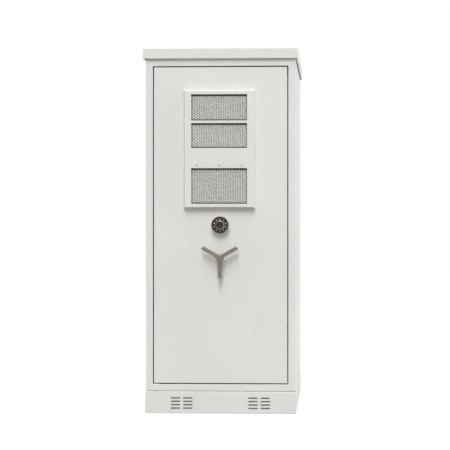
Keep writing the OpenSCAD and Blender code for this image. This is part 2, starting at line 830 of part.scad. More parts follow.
module lower_mesh() {
    color(zinc) at_vent() difference() {
        wide_block(window_w / 2 + mesh_margin, mesh_y, mesh_y + mesh_t, window_low_z - mesh_margin,
            rivet_z + rivet_d);
        mesh_openings(windows[0]);
        for (x = rivet_xs)
            bar_along_y(rivet_d / 2 + 2 * screw_fit, x, rivet_z, mesh_y - 1, mesh_y + mesh_t + 1);
    }
}

// Filter pad held between a mesh and the door skin
module filter_pad(z0, z1) {
    color(dark) at_vent()
        wide_block(window_w / 2 + mesh_margin / 2, mesh_y + mesh_t + seat_gap, front_y, z0, z1);
}

module upper_filter() {
    filter_pad(window_mid_z - mesh_margin / 2, window_top_z + window_top_h + mesh_margin / 2);
}

module lower_filter() {
    filter_pad(window_low_z - mesh_margin / 2, window_low_z + window_low_h + mesh_margin / 2);
}

// Shouldered rivets that hang the lower mesh from the cover
module vent_rivets() {
    head_t = 1.8;
    color(zinc) at_vent() for (x = rivet_xs) {
        bar_along_y(rivet_d / 2, x, rivet_z, vent_face_y, mesh_y + mesh_t);
        bar_along_y(0.85 * rivet_d, x, rivet_z, vent_face_y + vent_t, mesh_y);
        bar_along_y(0.8 * rivet_d, x, rivet_z, mesh_y + mesh_t, mesh_y + mesh_t + 1.2);
        facing(x, vent_face_y, rivet_z) cylinder(d1 = rivet_d, d2 = 0.6 * rivet_d, h = head_t);
    }
}

// Puts children at the four screw places of a fan
module fan_screw_places(fan_z) {
    for (x = [-0.5, 0.5] * fan_hole_pitch, z = [-0.5, 0.5] * fan_hole_pitch)
        translate([x, 0, fan_z + z]) children();
}

// Spool-shaped frame with two square flanges, a spider behind and a fixed stub shaft
module fan_frame(fan_z) {
    flange_t = 4;
    half = fan_size / 2;
    spider_y = fan_back_y - spider_t;
    color(dark) {
        difference() {
            union() {
                bar_along_y(fan_bore + 6, 0, fan_z, skin_y, fan_back_y);
                for (y = [skin_y, fan_back_y - flange_t])
                    wide_block(half, y, y + flange_t, fan_z - half, fan_z + half);
            }
            bar_along_y(fan_bore, 0, fan_z, skin_y - 1, fan_back_y + 1);
            fan_screw_places(fan_z)
                bar_along_y(fan_screw_d + 2 * screw_fit, 0, 0, skin_y - 1, fan_back_y + 1);
        }
        intersection() {
            for (angle = [0, 90])
                translate([0, 0, fan_z]) rotate([0, angle, 0])
                    wide_block(fan_bore / 2 + 1, spider_y, fan_back_y, -3, 3);
            bar_along_y(fan_bore + 2, 0, fan_z, spider_y, fan_back_y);
        }
        bar_along_y(fan_hub_d, 0, fan_z, spider_y, fan_back_y);
        bar_along_y(fan_shaft_d, 0, fan_z, rotor_y0 + 4, spider_y);
    }
}

module lower_fan_frame() {
    fan_frame(fan_zs[0]);
}

module upper_fan_frame() {
    fan_frame(fan_zs[1]);
}

// Rotor with flat pitched blades cut to the bore
module fan_rotor(fan_z) {
    pitch = 40;
    blade_t = 2;
    chord = (rotor_y1 - rotor_y0) / sin(pitch) - 2 * blade_t;
    color([0.10, 0.10, 0.11]) difference() {
        union() {
            bar_along_y(fan_hub_d, 0, fan_z, rotor_y0, rotor_y1);
            intersection() {
                bar_along_y(fan_bore - 2 * blade_gap, 0, fan_z, rotor_y0, rotor_y1);
                for (i = [0:blade_count - 1])
                    translate([0, (rotor_y0 + rotor_y1) / 2, fan_z]) rotate([0, i * 360 / blade_count, 0])
                        rotate([pitch, 0, 0])
                            block(fan_hub_d / 2 - 4, fan_bore / 2, -blade_t / 2, blade_t / 2,
                                -chord / 2, chord / 2);
            }
        }
        bar_along_y(fan_shaft_d + 2 * run_fit, 0, fan_z, rotor_y0 + 4 - run_fit, rotor_y1 + 1);
    }
}

module lower_fan_rotor() {
    fan_rotor(fan_zs[0]);
}

module upper_fan_rotor() {
    fan_rotor(fan_zs[1]);
}

// Finger guards: concentric rings on two crossed arms with an ear at each screw
module fan_guards() {
    ring_w = 2.5;
    ring_count = 4;
    ring_pitch = fan_bore / 2 / (ring_count + 0.5);
    arm_len = fan_hole_pitch * sqrt(2);
    color(zinc) for (fan_z = fan_zs)
        difference() {
            union() {
                facing(0, fan_back_y + guard_t, fan_z)
                    for (i = [1:ring_count])
                        rotate_extrude() translate([i * ring_pitch, 0]) square([ring_w, guard_t]);
                for (angle = [45, 135])
                    translate([0, 0, fan_z]) rotate([0, angle, 0])
                        wide_block(arm_len / 2, fan_back_y, fan_back_y + guard_t, -ring_w, ring_w);
                fan_screw_places(fan_z) bar_along_y(10, 0, 0, fan_back_y, fan_back_y + guard_t);
            }
            fan_screw_places(fan_z)
                bar_along_y(fan_screw_d + 2 * screw_fit, 0, 0, fan_back_y - 1, fan_back_y + guard_t + 1);
        }
}

module fan_screws() {
    color(zinc) for (fan_z = fan_zs)
        fan_screw_places(fan_z) {
            bar_along_y(fan_screw_d, 0, 0, front_y, fan_back_y + guard_t);
            bar_along_y(2 * fan_screw_d, 0, 0, fan_back_y + guard_t, fan_back_y + guard_t + screw_head_t);
        }
}

// Lock and handle

// Closed lock case with a raised lid and a blind bore for the dial's spindle
module lock_case() {
    lid = 4;
    half_x = lock_w / 2;
    half_z = lock_h / 2;
    color(zinc) difference() {
        union() {
            wide_block(half_x, skin_y, skin_y + lock_t - lid, dial_z - half_z, dial_z + half_z);
            wide_block(half_x - lid, skin_y, skin_y + lock_t, dial_z - half_z + lid, dial_z + half_z - lid);
        }
        bar_along_y(dial_spindle_d + 2 * run_fit, 0, dial_z, skin_y - 1, skin_y + 0.6 * lock_t);
    }
}

// Bevelled ring that the dial turns in
module dial_ring() {
    outer = dial_ring_d / 2;
    inner = dial_d / 2 + 0.5;
    edge = (outer - inner) / 3;
    color([0.78, 0.78, 0.79]) facing(0, front_y, dial_z) rotate_extrude()
        polygon([[inner, 0], [outer, 0], [outer, dial_ring_h - 2 * edge], [outer - edge, dial_ring_h],
            [inner + edge, dial_ring_h], [inner, dial_ring_h - edge]]);
}

// Dial plate with a boss behind it, a sloped rim, a collar and a grooved knob
module dial() {
    collar_t = 4;
    face_z = dial_rise + dial_t;
    knob_z = face_z + collar_t;
    color(dark) facing(0, front_y, dial_z) {
        translate([0, 0, dial_float]) cylinder(d = knob_d, h = dial_rise - dial_float + 1);
        translate([0, 0, dial_rise]) cylinder(d = dial_d, h = dial_t / 2);
        translate([0, 0, dial_rise + dial_t / 2]) cylinder(d1 = dial_d, d2 = dial_d - 8, h = dial_t / 2);
        translate([0, 0, face_z]) cylinder(d1 = knob_d + 8, d2 = knob_d + 2, h = collar_t);
        difference() {
            union() {
                translate([0, 0, knob_z]) cylinder(d = knob_d, h = knob_len - 3);
                translate([0, 0, knob_z + knob_len - 3]) cylinder(d1 = knob_d, d2 = knob_d - 5, h = 3);
            }
            for (i = [0:knob_grips - 1])
                rotate([0, 0, i * 360 / knob_grips]) translate([knob_d / 2, 0, knob_z])
                    cylinder(d = knob_groove_d, h = knob_len + 1);
            translate([0, 0, knob_z + knob_len - 1.5]) cylinder(d = knob_d - 12, h = 3);
        }
    }
}

module dial_spindle() {
    color(zinc) bar_along_y(dial_spindle_d, 0, dial_z, front_y - dial_float, skin_y + 0.6 * lock_t - 1);
}

// Flanged bush in the door skin
module handle_bush() {
    color(zinc) difference() {
        union() {
            bar_along_y(handle_bush_d + 10, 0, handle_z, front_y - bush_flange_t, front_y);
            bar_along_y(handle_bush_d, 0, handle_z, front_y - 1, skin_y + 6);
        }
        bar_along_y(spindle_d + 2 * run_fit, 0, handle_z, front_y - bush_flange_t - 1, skin_y + 7);
    }
}

// Cast handle: a hub with three spokes, one straight down
module handle() {
    neck_z = bush_flange_t + seat_gap;
    head_z = handle_standoff - spoke_d / 2 - 4;
    head_h = spoke_d + 8;
    color(nickel) facing(0, front_y, handle_z) difference() {
        union() {
            translate([0, 0, neck_z]) cylinder(d = 0.75 * hub_d, h = head_z - neck_z + 1);
            translate([0, 0, head_z]) cylinder(d = hub_d, h = head_h);
            translate([0, 0, head_z + head_h]) cylinder(d1 = hub_d, d2 = 0.8 * hub_d, h = 4);
            for (angle = [-90, 30, 150])
                rotate([0, 0, angle]) translate([0, 0, handle_standoff]) rotate([0, 90, 0]) {
                    cylinder(d = spoke_d, h = spoke_len - spoke_chamfer);
                    translate([0, 0, spoke_len - spoke_chamfer])
                        cylinder(d1 = spoke_d, d2 = spoke_d - 2 * spoke_chamfer, h = spoke_chamfer);
                }
        }
        translate([0, 0, -1]) cylinder(d = spindle_d + 2 * run_fit, h = handle_standoff + 1);
    }
}

module handle_spindle() {
    color(zinc) bar_along_y(spindle_d, 0, handle_z, spoke_y, cam_y + bar_t + bar_t);
}

// Boltwork

// Place of a cam pin, by its angle clockwise from straight up seen from the front
module at_pin(angle) {
    translate([pin_r * sin(angle), 0, handle_z + pin_r * cos(angle)]) children();
}

// Disc with a short pin for the side bolts and two long pins for the rods
module cam() {
    pin_y = cam_y + bar_t;
    color(zinc) difference() {
        union() {
            bar_along_y(cam_d, 0, handle_z, cam_y, pin_y);
            at_pin(-half_turn) bar_along_y(pin_d, 0, 0, cam_y, link_y + bar_t + layer_gap / 2);
            for (angle = [-90, 90])
                at_pin(angle - half_turn) bar_along_y(pin_d, 0, 0, cam_y, yoke_y + bar_t + layer_gap / 2);
        }
        bar_along_y(spindle_d + 2 * run_fit, 0, handle_z, cam_y - 1, pin_y + 1);
    }
}

module spindle_nut() {
    nut_t = bar_t - 1;
    color(zinc) difference() {
        translate([0, cam_y + bar_t, handle_z]) rotate([-90, 0, 0])
            cylinder(d = 1.6 * spindle_d, h = nut_t, $fn = 6);
        bar_along_y(spindle_d + 2 * run_fit, 0, handle_z, cam_y, cam_y + bar_t + nut_t + 1);
    }
}

// Forked link, a long upright bar and three bolts with bevelled tips
module side_bolts() {
    pin_x = -pin_r * sin(half_turn);
    bar_x = bolt_bar_x1 - bolt_bar_w / 2;
    tip = 3;
    tip_x = door_x - tip_recess;
    low_z = handle_z + link_z0;
    color(zinc) {
        difference() {
            block(pin_x - pin_slot / 2 - 6, bar_x, link_y, link_y + bar_t, low_z, low_z + link_h);
            block(pin_x - pin_slot / 2, pin_x + pin_slot / 2, link_y - 1, link_y + bar_t + 1, low_z - 1,
                handle_z + pin_r + pin_d / 2 + 1);
        }
        block(bolt_bar_x1 - bolt_bar_w, bolt_bar_x1, link_y, link_y + bar_t, bolt_zs[0] - bolt_d,
            bolt_zs[2] + bolt_d);
        for (z = bolt_zs) {
            bar_along_x(bolt_d, bolt_y, z, bar_x, tip_x - tip);
            translate([tip_x - tip, bolt_y, z]) rotate([0, 90, 0])
                cylinder(d1 = bolt_d, d2 = bolt_d - 2 * tip, h = tip);
        }
    }
}

// Slotted yoke and upright rod on the left of the handle's axis, reaching up from it
module throw_rod(reach) {
    pin_z = -pin_r * sin(half_turn);
    inner_x = pin_slot / 2 + 4 - pin_r * cos(half_turn);
    tip = 3;
    foot_z = 5;
    color(zinc) {
        difference() {
            union() {
                block(-rod_reach, inner_x, yoke_y, yoke_y + bar_t, pin_z - yoke_h / 2, pin_z + yoke_h / 2);
                block(-rod_reach - rod_d / 2 - 3, -rod_reach + rod_d / 2 + 3, yoke_y, yoke_y + bar_t,
                    pin_z - yoke_h / 2, pin_z + 2.5 * yoke_h);
            }
            block(-pin_r - pin_slot / 2, pin_slot / 2 - pin_r * cos(half_turn), yoke_y - 1,
                yoke_y + bar_t + 1, pin_z - pin_slot / 2, pin_z + pin_slot / 2);
        }
        bar_along_z(rod_d, -rod_reach, bolt_y, -foot_z, reach - tip);
        translate([-rod_reach, bolt_y, reach - tip]) cylinder(d1 = rod_d, d2 = rod_d - 2 * tip, h = tip);
    }
}

module top_rod() {
    translate([0, 0, handle_z]) throw_rod(door_z1 - tip_recess - handle_z);
}

module bottom_rod() {
    translate([0, 0, handle_z]) rotate([0, 180, 0]) throw_rod(handle_z - door_z0 - tip_recess);
}

// Guides for the bolts and rods against the inside of the door's edges
module edge_guides() {
    color([0.90, 0.90, 0.86]) {
        for (z = bolt_zs)
            difference() {
                bar_along_x(bolt_d + 2 * guide_wall, bolt_y, z,
                    door_x - sheet_t - guide_len, door_x - sheet_t);
                bar_along_x(bolt_d + 2 * run_fit, bolt_y, z, door_x - sheet_t - guide_len - 1, door_x);
            }
        rod_edge_guide(-rod_reach, door_z1 - sheet_t - guide_len);
        rod_edge_guide(rod_reach, door_z0 + sheet_t);
    }
}

module rod_edge_guide(x, z) {
    difference() {
        bar_along_z(rod_d + 2 * guide_wall, x, bolt_y, z, z + guide_len);
        bar_along_z(rod_d + 2 * run_fit, x, bolt_y, z - 1, z + guide_len + 1);
    }
}

// Blocks on the door skin that the rods slide through
module rod_saddles() {
    color([0.90, 0.90, 0.86])
        for (place = [[-rod_reach, rod_high_saddle_z], [rod_reach, rod_low_saddle_z]])
            difference() {
                block(place[0] - saddle_w / 2, place[0] + saddle_w / 2,
                    skin_y, bolt_y + rod_d / 2 + guide_wall,
                    place[1] - saddle_h / 2, place[1] + saddle_h / 2);
                bar_along_z(rod_d + 2 * run_fit, place[0], bolt_y, place[1] - saddle_h, place[1] + saddle_h);
            }
}

// Flanged bush in the door's lower edge
module pivot_bush(z) {
    difference() {
        union() {
            bar_along_z(pivot_ring_d, pivot_x, pivot_y, z - pivot_ring_t, z);
            bar_along_z(bush_d, pivot_x, pivot_y, z - 1, z + sheet_t + bush_len);
        }
        bar_along_z(pivot_d + 2 * run_fit, pivot_x, pivot_y,
            z - pivot_ring_t - 1, z + sheet_t + bush_len + 1);
    }
}

module lower_door_bush() {
    color([0.75, 0.62, 0.35]) pivot_bush(door_z0);
}

module upper_door_bush() {
    color([0.75, 0.62, 0.35]) translate([0, 0, door_z1]) mirror([0, 0, 1]) pivot_bush(0);
}

plinth();
floor_panel();
gland_plate();
cable_grommets();
left_side_panel();
right_side_panel();
rear_panel();
top_panel();
front_frame();
roof_cap();
roof_spacers();
roof_studs();
lower_front_crossbar();
lower_rear_crossbar();
upper_front_crossbar();
upper_rear_crossbar();
front_left_rail();
front_right_rail();
rear_left_rail();
rear_right_rail();
earth_bar();
earth_standoffs();
door_gasket();
lower_pivot_pin();
upper_pivot_pin();
thrust_washer();
pivot_nuts();
panel_screws();
rail_screws();
plinth_bolts();
door_panel();
door_stiffeners();
vent_cover();
upper_mesh();
lower_mesh();
upper_filter();
lower_filter();
vent_rivets();
lower_fan_frame();
upper_fan_frame();
fan_guards();
fan_screws();
lock_case();
dial_ring();
handle_bush();
edge_guides();
rod_saddles();
lower_door_bush();
upper_door_bush();
handle();
handle_spindle();
cam();
spindle_nut();
side_bolts();
top_rod();
bottom_rod();
dial();
dial_spindle();
lower_fan_rotor();
upper_fan_rotor();
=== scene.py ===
"""Roadside utility cabinet: painted shells, vent mesh, dial marks, fittings, light and camera."""
import json
import math

import bmesh
import bpy
from mathutils import Matrix, Vector


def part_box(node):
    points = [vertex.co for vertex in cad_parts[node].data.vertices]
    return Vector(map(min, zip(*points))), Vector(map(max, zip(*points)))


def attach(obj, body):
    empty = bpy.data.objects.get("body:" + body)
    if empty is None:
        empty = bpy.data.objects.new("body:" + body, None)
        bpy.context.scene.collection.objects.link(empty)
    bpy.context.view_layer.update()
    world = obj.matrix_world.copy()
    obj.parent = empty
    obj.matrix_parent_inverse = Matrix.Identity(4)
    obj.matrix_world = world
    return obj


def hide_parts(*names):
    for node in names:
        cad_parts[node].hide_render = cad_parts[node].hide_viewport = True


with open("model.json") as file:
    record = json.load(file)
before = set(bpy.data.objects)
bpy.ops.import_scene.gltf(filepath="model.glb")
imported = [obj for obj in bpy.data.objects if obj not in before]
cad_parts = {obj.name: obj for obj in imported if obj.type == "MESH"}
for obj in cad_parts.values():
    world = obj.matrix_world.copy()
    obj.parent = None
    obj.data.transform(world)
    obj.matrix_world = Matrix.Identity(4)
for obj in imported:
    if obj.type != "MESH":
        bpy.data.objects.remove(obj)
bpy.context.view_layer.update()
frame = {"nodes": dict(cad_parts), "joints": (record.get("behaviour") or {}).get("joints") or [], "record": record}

MM = 0.001
MERGE_GAP = 0.002 * MM             # corners nearer than this are one corner
SHARP_ANGLE = math.radians(35)     # an edge that turns further shades as a crease
ON_AXIS = 1e-7                     # a smaller radius is a point on the axis
UPRIGHT = (math.pi / 2, 0.0, 0.0)  # turn that stands a flat pattern up

# Planes and places taken from the frame
DOOR_FACE_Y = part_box("door_panel")[0].y
vent_low, vent_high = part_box("vent_cover")
VENT_FACE_Y = vent_low.y
VENT_X = (vent_low.x + vent_high.x) / 2
ring_low, ring_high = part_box("dial_ring")
DIAL_Z = (ring_low.z + ring_high.z) / 2
HANDLE_Z = next(j["pos_m"][2] for j in frame["joints"] if j["name"] == "handle_turn")
SLOT_OF = {part["node"]: part["material_slot"] for part in frame["record"]["subparts"]}
BODY_OF = {node: body for body, nodes in frame["record"]["behaviour"]["bodies"].items()
           for node in nodes}


# Small builders for meshes and objects

def link(name, data, material=None):
    """Puts a mesh, a curve, a lamp or a camera in the scene."""
    piece = bpy.data.objects.new(name, data)
    bpy.context.scene.collection.objects.link(piece)
    if material is not None:
        data.materials.clear()
        data.materials.append(material)
    return piece


def settle(piece, body, slot, *nodes):
    """Makes a finished piece ride on its body and stand for the solids it covers."""
    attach(piece, body)
    if nodes:
        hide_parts(*nodes)
    return piece


def baked(piece):
    """Turns a piece's live modifiers into its plain mesh."""
    evaluated = piece.evaluated_get(bpy.context.evaluated_depsgraph_get())
    mesh = bpy.data.meshes.new_from_object(evaluated)
    piece.modifiers.clear()
    piece.data = mesh
    return piece


def plain_mesh(work, name):
    """Turns a working mesh into a plain one."""
    mesh = bpy.data.meshes.new(name)
    work.to_mesh(mesh)
    work.free()
    return mesh


def mark_creases(work, limit=SHARP_ANGLE):
    """Smooth faces, with a crease along each edge that turns further than a limit."""
    for face in work.faces:
        face.smooth = True
    for edge in work.edges:
        edge.smooth = len(edge.link_faces) == 2 and edge.calc_face_angle(0) < limit


def shade_smooth(mesh, limit=SHARP_ANGLE):
    """Smooth shading of a plain mesh, with its sharp edges kept."""
    work = bmesh.new()
    work.from_mesh(mesh)
    mark_creases(work, limit)
    work.to_mesh(mesh)
    work.free()


def revolve(name, profile, steps, lobes=0):
    """Closed mesh of revolution about Y from (radius, y) points.

    A profile off the axis closes on itself. A third number in a point swells and narrows its ring
    by that much, as many times as there are lobes.
    """
    work = bmesh.new()
    rings = []
    for radius, y, *swell in profile:
        if radius < ON_AXIS:
            rings.append([work.verts.new((0, y, 0))])
            continue
        ring = []
        for k in range(steps):
            turn = 2 * math.pi * k / steps
            reach = radius + (swell[0] * math.cos(lobes * turn) if swell else 0)
            ring.append(work.verts.new((reach * math.cos(turn), y, reach * math.sin(turn))))
        rings.append(ring)
    onward = rings[1:] if len(rings[0]) == 1 else rings[1:] + rings[:1]
    for ring, following in zip(rings, onward):
        for k in range(steps):
            after = (k + 1) % steps
            corners = [ring[k % len(ring)], ring[after % len(ring)],
                       following[after % len(following)], following[k % len(following)]]
            work.faces.new(list(dict.fromkeys(corners)))
    bmesh.ops.recalc_face_normals(work, faces=work.faces)
    mesh = plain_mesh(work, name)
    shade_smooth(mesh)
    return mesh


# Rounded copies of the frame's solids

FLAT_ANGLE = math.radians(0.5)  # triangles that turn less lie in one face
LEAST_BEND = math.radians(20)   # an edge that turns less belongs to a curve
SHORTEST_BEND = 1 * MM
SHEET_EDGE = 4 * MM             # a narrower face is the cut edge of a sheet
MOST_KEPT = 1.0005              # shares of surface and volume that a sound copy keeps
LEAST_KEPT = 0.95


def merged_copy(node):
    """Working copy of a solid's mesh with its loose triangles joined into flat faces."""
    work = bmesh.new()
    work.from_mesh(frame["nodes"][node].data)
    bmesh.ops.remove_doubles(work, verts=work.verts, dist=MERGE_GAP)
    bmesh.ops.dissolve_limit(work, angle_limit=FLAT_ANGLE, verts=work.verts, edges=work.edges,
                             use_dissolve_boundaries=False)
    return work


def mark_bends(work, bend, inner, cut):
    """Bevel weights that tell a sheet's outer bends from its inner bends and its cut edges."""
    mark_creases(work)
    weight = work.edges.layers.float.new("bevel_weight_edge")
    for edge in work.edges:
        if len(edge.link_faces) != 2 or edge.calc_length() < SHORTEST_BEND:
            continue
        if edge.calc_face_angle(0) < LEAST_BEND:
            continue
        edge.smooth = True
        start = edge.verts[0].co
        along = (edge.verts[1].co - start).normalized()
        spans = [max((v.co - start - along * along.dot(v.co - start)).length for v in face.verts)
                 for face in edge.link_faces]
        if min(spans) < SHEET_EDGE:
            edge[weight] = cut / bend
        else:
            edge[weight] = 1.0 if edge.is_convex else inner / bend


def rounded(node, bend, inner, cut, steps, split):
    """Copy of a solid with its bends and cut edges rounded, once its hollow faces are split."""
    work = merged_copy(node)
    mark_bends(work, bend, inner, cut)
    split(work, faces=work.faces)
    piece = link(node + "_finish", plain_mesh(work, node + "_finish"))
    bends = piece.modifiers.new("bends", "BEVEL")
    bends.width = bend * MM
    bends.segments = steps
    bends.limit_method = "WEIGHT"
    bends.loop_slide = False
    bends.face_strength_mode = "FSTR_ALL"
    shading = piece.modifiers.new("shading", "WEIGHTED_NORMAL")
    shading.use_face_influence = True
    shading.keep_sharp = True
    return baked(piece)


def extent(mesh):
    """Surface and volume of a mesh."""
    work = bmesh.new()
    work.from_mesh(mesh)
    bmesh.ops.triangulate(work, faces=work.faces)
    measured = sum(face.calc_area() for face in work.faces), work.calc_volume()
    work.free()
    return measured


def soften(node, bend, inner=0.6, cut=0.25, steps=3, material=None):
    """Stands a copy with rounded bends and broken edges in a solid's place, sized in millimetres.

    Rounding takes a little surface and volume away. A copy that gains any has folded over: it is
    made again from plain triangles, and failing that its edges stay sharp.
    """
    area, volume = extent(frame["nodes"][node].data)
    for split in (bmesh.ops.connect_verts_concave, bmesh.ops.triangulate):
        piece = rounded(node, bend, inner, cut, steps, split)
        kept_area, kept_volume = extent(piece.data)
        if kept_area < MOST_KEPT * area and LEAST_KEPT < kept_volume / volume < MOST_KEPT:
            break
        bpy.data.objects.remove(piece)
    else:
        piece = link(node + "_finish", plain_mesh(merged_copy(node), node + "_finish"))
        shade_smooth(piece.data)
    piece.data.materials.clear()
    piece.data.materials.append(material or FINISH_OF_SLOT[SLOT_OF[node]])
    return settle(piece, BODY_OF[node], SLOT_OF[node], node)


# Nodes of shader and geometry trees

NOISE_SPAN = (0.3, 0.7)  # noise seldom leaves this span
NOISE_ROUGHNESS = 0.55
PATCH_SPAN = (0.35, 0.75)  # noise at the edge and in the middle of a patch
FLAT_SPAN = (0.90, 0.99)   # upward part of a normal where dust starts to lie, and lies fully


def feed(tree, socket, value):
    """Links a socket to another node's output, or sets it to a plain value."""
    if isinstance(value, bpy.types.NodeSocket):
        tree.links.new(value, socket)
    else:
        socket.default_value = value


def sums(tree, operation, first, second):
    """Arithmetic on two numbers or sockets."""
    node = tree.nodes.new("ShaderNodeMath")
    node.operation = operation
    for socket, value in zip(node.inputs, (first, second)):
        feed(tree, socket, value)
    return node.outputs[0]


def map_range(tree, value, low, high, to_low, to_high):
    """Rescales a socket from one span to another, clamped."""
    node = tree.nodes.new("ShaderNodeMapRange")
    tree.links.new(value, node.inputs["Value"])
    labels = ("From Min", "From Max", "To Min", "To Max")
    for label, number in zip(labels, (low, high, to_low, to_high)):
        node.inputs[label].default_value = number
    return node.outputs["Result"]


def noise(tree, place, scale, detail):
    """Noise at a place; the scale is a number or a socket."""
    node = tree.nodes.new("ShaderNodeTexNoise")
    node.inputs["Detail"].default_value = detail
    node.inputs["Roughness"].default_value = NOISE_ROUGHNESS
    feed(tree, node.inputs["Vector"], place)
    feed(tree, node.inputs["Scale"], scale)
    return node.outputs["Fac"]


def object_place(tree):
    """Place on the piece, in its own coordinates."""
    return tree.nodes.new("ShaderNodeTexCoord").outputs["Object"]


def height_of(tree, direction):
    """Upward part of a place or a normal."""
    node = tree.nodes.new("ShaderNodeSeparateXYZ")
    tree.links.new(direction, node.inputs[0])
    return node.outputs["Z"]


# Shader groups that several finishes share

def shader_group(name, inputs, outputs):
    """Empty shader group with named float inputs and outputs."""
    group = bpy.data.node_groups.new(name, "ShaderNodeTree")
    for label, value in inputs:
        socket = group.interface.new_socket(label, in_out="INPUT", socket_type="NodeSocketFloat")
        socket.default_value = value
    for label in outputs:
        group.interface.new_socket(label, in_out="OUTPUT", socket_type="NodeSocketFloat")
    given, result = group.nodes.new("NodeGroupInput"), group.nodes.new("NodeGroupOutput")
    return group, given.outputs, result.inputs


def coat_group():
    """Powder coat: a fine orange peel and a slow drift of tone."""
    group, given, result = shader_group(
        "coat_grain", [("Peel Scale", 900.0), ("Drift Scale", 2.5)], ["Height", "Tone"])
    place = object_place(group)
    drift = noise(group, place, given["Drift Scale"], 3.0)
    group.links.new(noise(group, place, given["Peel Scale"], 2.0), result["Height"])
    group.links.new(map_range(group, drift, *NOISE_SPAN, 0.0, 1.0), result["Tone"])
    return group


def dust_and_top_shade_group():
    """Dust low down that thins out in patches; on flat tops, settled dust with painted shade."""
    group, given, result = shader_group(
        "road_dust", [("Reach", 0.35), ("Patch Scale", 14.0)], ["Mask", "Settled"])
    place = object_place(group)
    fall = sums(group, "DIVIDE", height_of(group, place), given["Reach"])
    low = group.nodes.new("ShaderNodeClamp")
    group.links.new(sums(group, "SUBTRACT", 1.0, fall), low.inputs["Value"])
    patches = noise(group, place, given["Patch Scale"], 6.0)
    patches = map_range(group, patches, *PATCH_SPAN, 0.0, 1.0)
    group.links.new(sums(group, "MULTIPLY", low.outputs[0], patches), result["Mask"])
    facing_up = height_of(group, group.nodes.new("ShaderNodeNewGeometry").outputs["Normal"])
    flat = map_range(group, facing_up, *FLAT_SPAN, 0.0, 1.0)
    drifts = map_range(group, noise(group, place, 5.0, 5.0), *NOISE_SPAN, 0.65, 1.0)
    group.links.new(sums(group, "MULTIPLY", flat, drifts), result["Settled"])
    return group


def grain_group():
    """Lines of a drawn or brushed metal along one axis, with cloudy patches."""
    group, given, result = shader_group(
        "drawn_grain", [("Across", 1600.0), ("Along", 30.0), ("Cloud Scale", 40.0)],
        ["Lines", "Clouds"])
    place = object_place(group)
    stretch = group.nodes.new("ShaderNodeCombineXYZ")
    for axis, share in (("X", "Across"), ("Y", "Across"), ("Z", "Along")):
        group.links.new(given[share], stretch.inputs[axis])
    scaled = group.nodes.new("ShaderNodeVectorMath")
    scaled.operation = "MULTIPLY"
    group.links.new(place, scaled.inputs[0])
    group.links.new(stretch.outputs[0], scaled.inputs[1])
    group.links.new(noise(group, scaled.outputs[0], 1.0, 3.0), result["Lines"])
    clouds = noise(group, place, given["Cloud Scale"], 4.0)
    group.links.new(map_range(group, clouds, *NOISE_SPAN, 0.0, 1.0), result["Clouds"])
    return group


COAT_GRAIN = coat_group()
ROAD_DUST_AND_TOP_SHADE = dust_and_top_shade_group()
DRAWN_GRAIN = grain_group()


# Finishes

# Dust tone, also used as painted shade on flat tops
DUST_AND_SHADE_TONE = (0.36, 0.33, 0.29)
LOW_DUST = 0.10      # share of dust low on the walls
TOP_DUST_AND_SHADE = 0.34  # share of dust and painted shade on flat tops


def finish(name, roughness, metallic=0.0):
    """New material; returns it with its tree and its surface shader."""
    material = bpy.data.materials.new(name)
    material.use_nodes = True
    surface = material.node_tree.nodes["Principled BSDF"]
    surface.inputs["Roughness"].default_value = roughness
    surface.inputs["Metallic"].default_value = metallic
    return material, material.node_tree, surface


def use_group(tree, group, **values):
    """Places a shared effect with its own values."""
    node = tree.nodes.new("ShaderNodeGroup")
    node.node_tree = group
    for label, value in values.items():
        node.inputs[label.replace("_", " ")].default_value = value
    return node.outputs


def two_tone(tree, factor, first, second):
    """Colour that runs from one tone to another."""
    mix = tree.nodes.new("ShaderNodeMix")
    mix.data_type = "RGBA"
    tree.links.new(factor, mix.inputs["Factor"])
    for socket, tone in zip((mix.inputs[6], mix.inputs[7]), (first, second)):
        feed(tree, socket, (*tone, 1.0) if isinstance(tone, tuple) else tone)
    return mix.outputs[2]


def bump(tree, surface, height, depth, strength):
    """Relief of a given depth in millimetres."""
    node = tree.nodes.new("ShaderNodeBump")
    node.inputs["Strength"].default_value = strength
    node.inputs["Distance"].default_value = depth * MM
    tree.links.new(height, node.inputs["Height"])
    tree.links.new(node.outputs["Normal"], surface.inputs["Normal"])


def white_coat(name, light, shade):
    """Near-white powder coat with a little road dust low down, and dust with painted shade on top."""
    material, tree, surface = finish(name, 0.42)
    surface.inputs["Specular IOR Level"].default_value = 0.4
    coat = use_group(tree, COAT_GRAIN, Peel_Scale=700.0, Drift_Scale=2.2)
    dust = use_group(tree, ROAD_DUST_AND_TOP_SHADE, Reach=0.30, Patch_Scale=18.0)
    paint = two_tone(tree, coat["Tone"], shade, light)
    # Dust low down, plus dust with painted shade on flat tops
    soiled_and_shaded = sums(tree, "ADD", sums(tree, "MULTIPLY", dust["Mask"], LOW_DUST),
                  sums(tree, "MULTIPLY", dust["Settled"], TOP_DUST_AND_SHADE))
    tree.links.new(two_tone(tree, soiled_and_shaded, paint, DUST_AND_SHADE_TONE), surface.inputs["Base Color"])
    tree.links.new(map_range(tree, dust["Mask"], 0.0, 1.0, 0.40, 0.55), surface.inputs["Roughness"])
    bump(tree, surface, coat["Height"], 0.05, 0.35)
    return material


def metal(name, light, shade, roughness, across=1600.0, along=30.0, cloud=40.0, spread=0.08,
          bare=1.0):
    """Bare, plated or dulled metal with drawn lines and cloudy patches."""
    material, tree, surface = finish(name, roughness, bare)
    grain = use_group(tree, DRAWN_GRAIN, Across=across, Along=along, Cloud_Scale=cloud)
    tree.links.new(two_tone(tree, grain["Clouds"], shade, light), surface.inputs["Base Color"])
    worn = map_range(tree, grain["Lines"], *NOISE_SPAN, roughness - spread, roughness + spread)
    tree.links.new(worn, surface.inputs["Roughness"])
    bump(tree, surface, grain["Lines"], 0.02, 0.3)
    return material


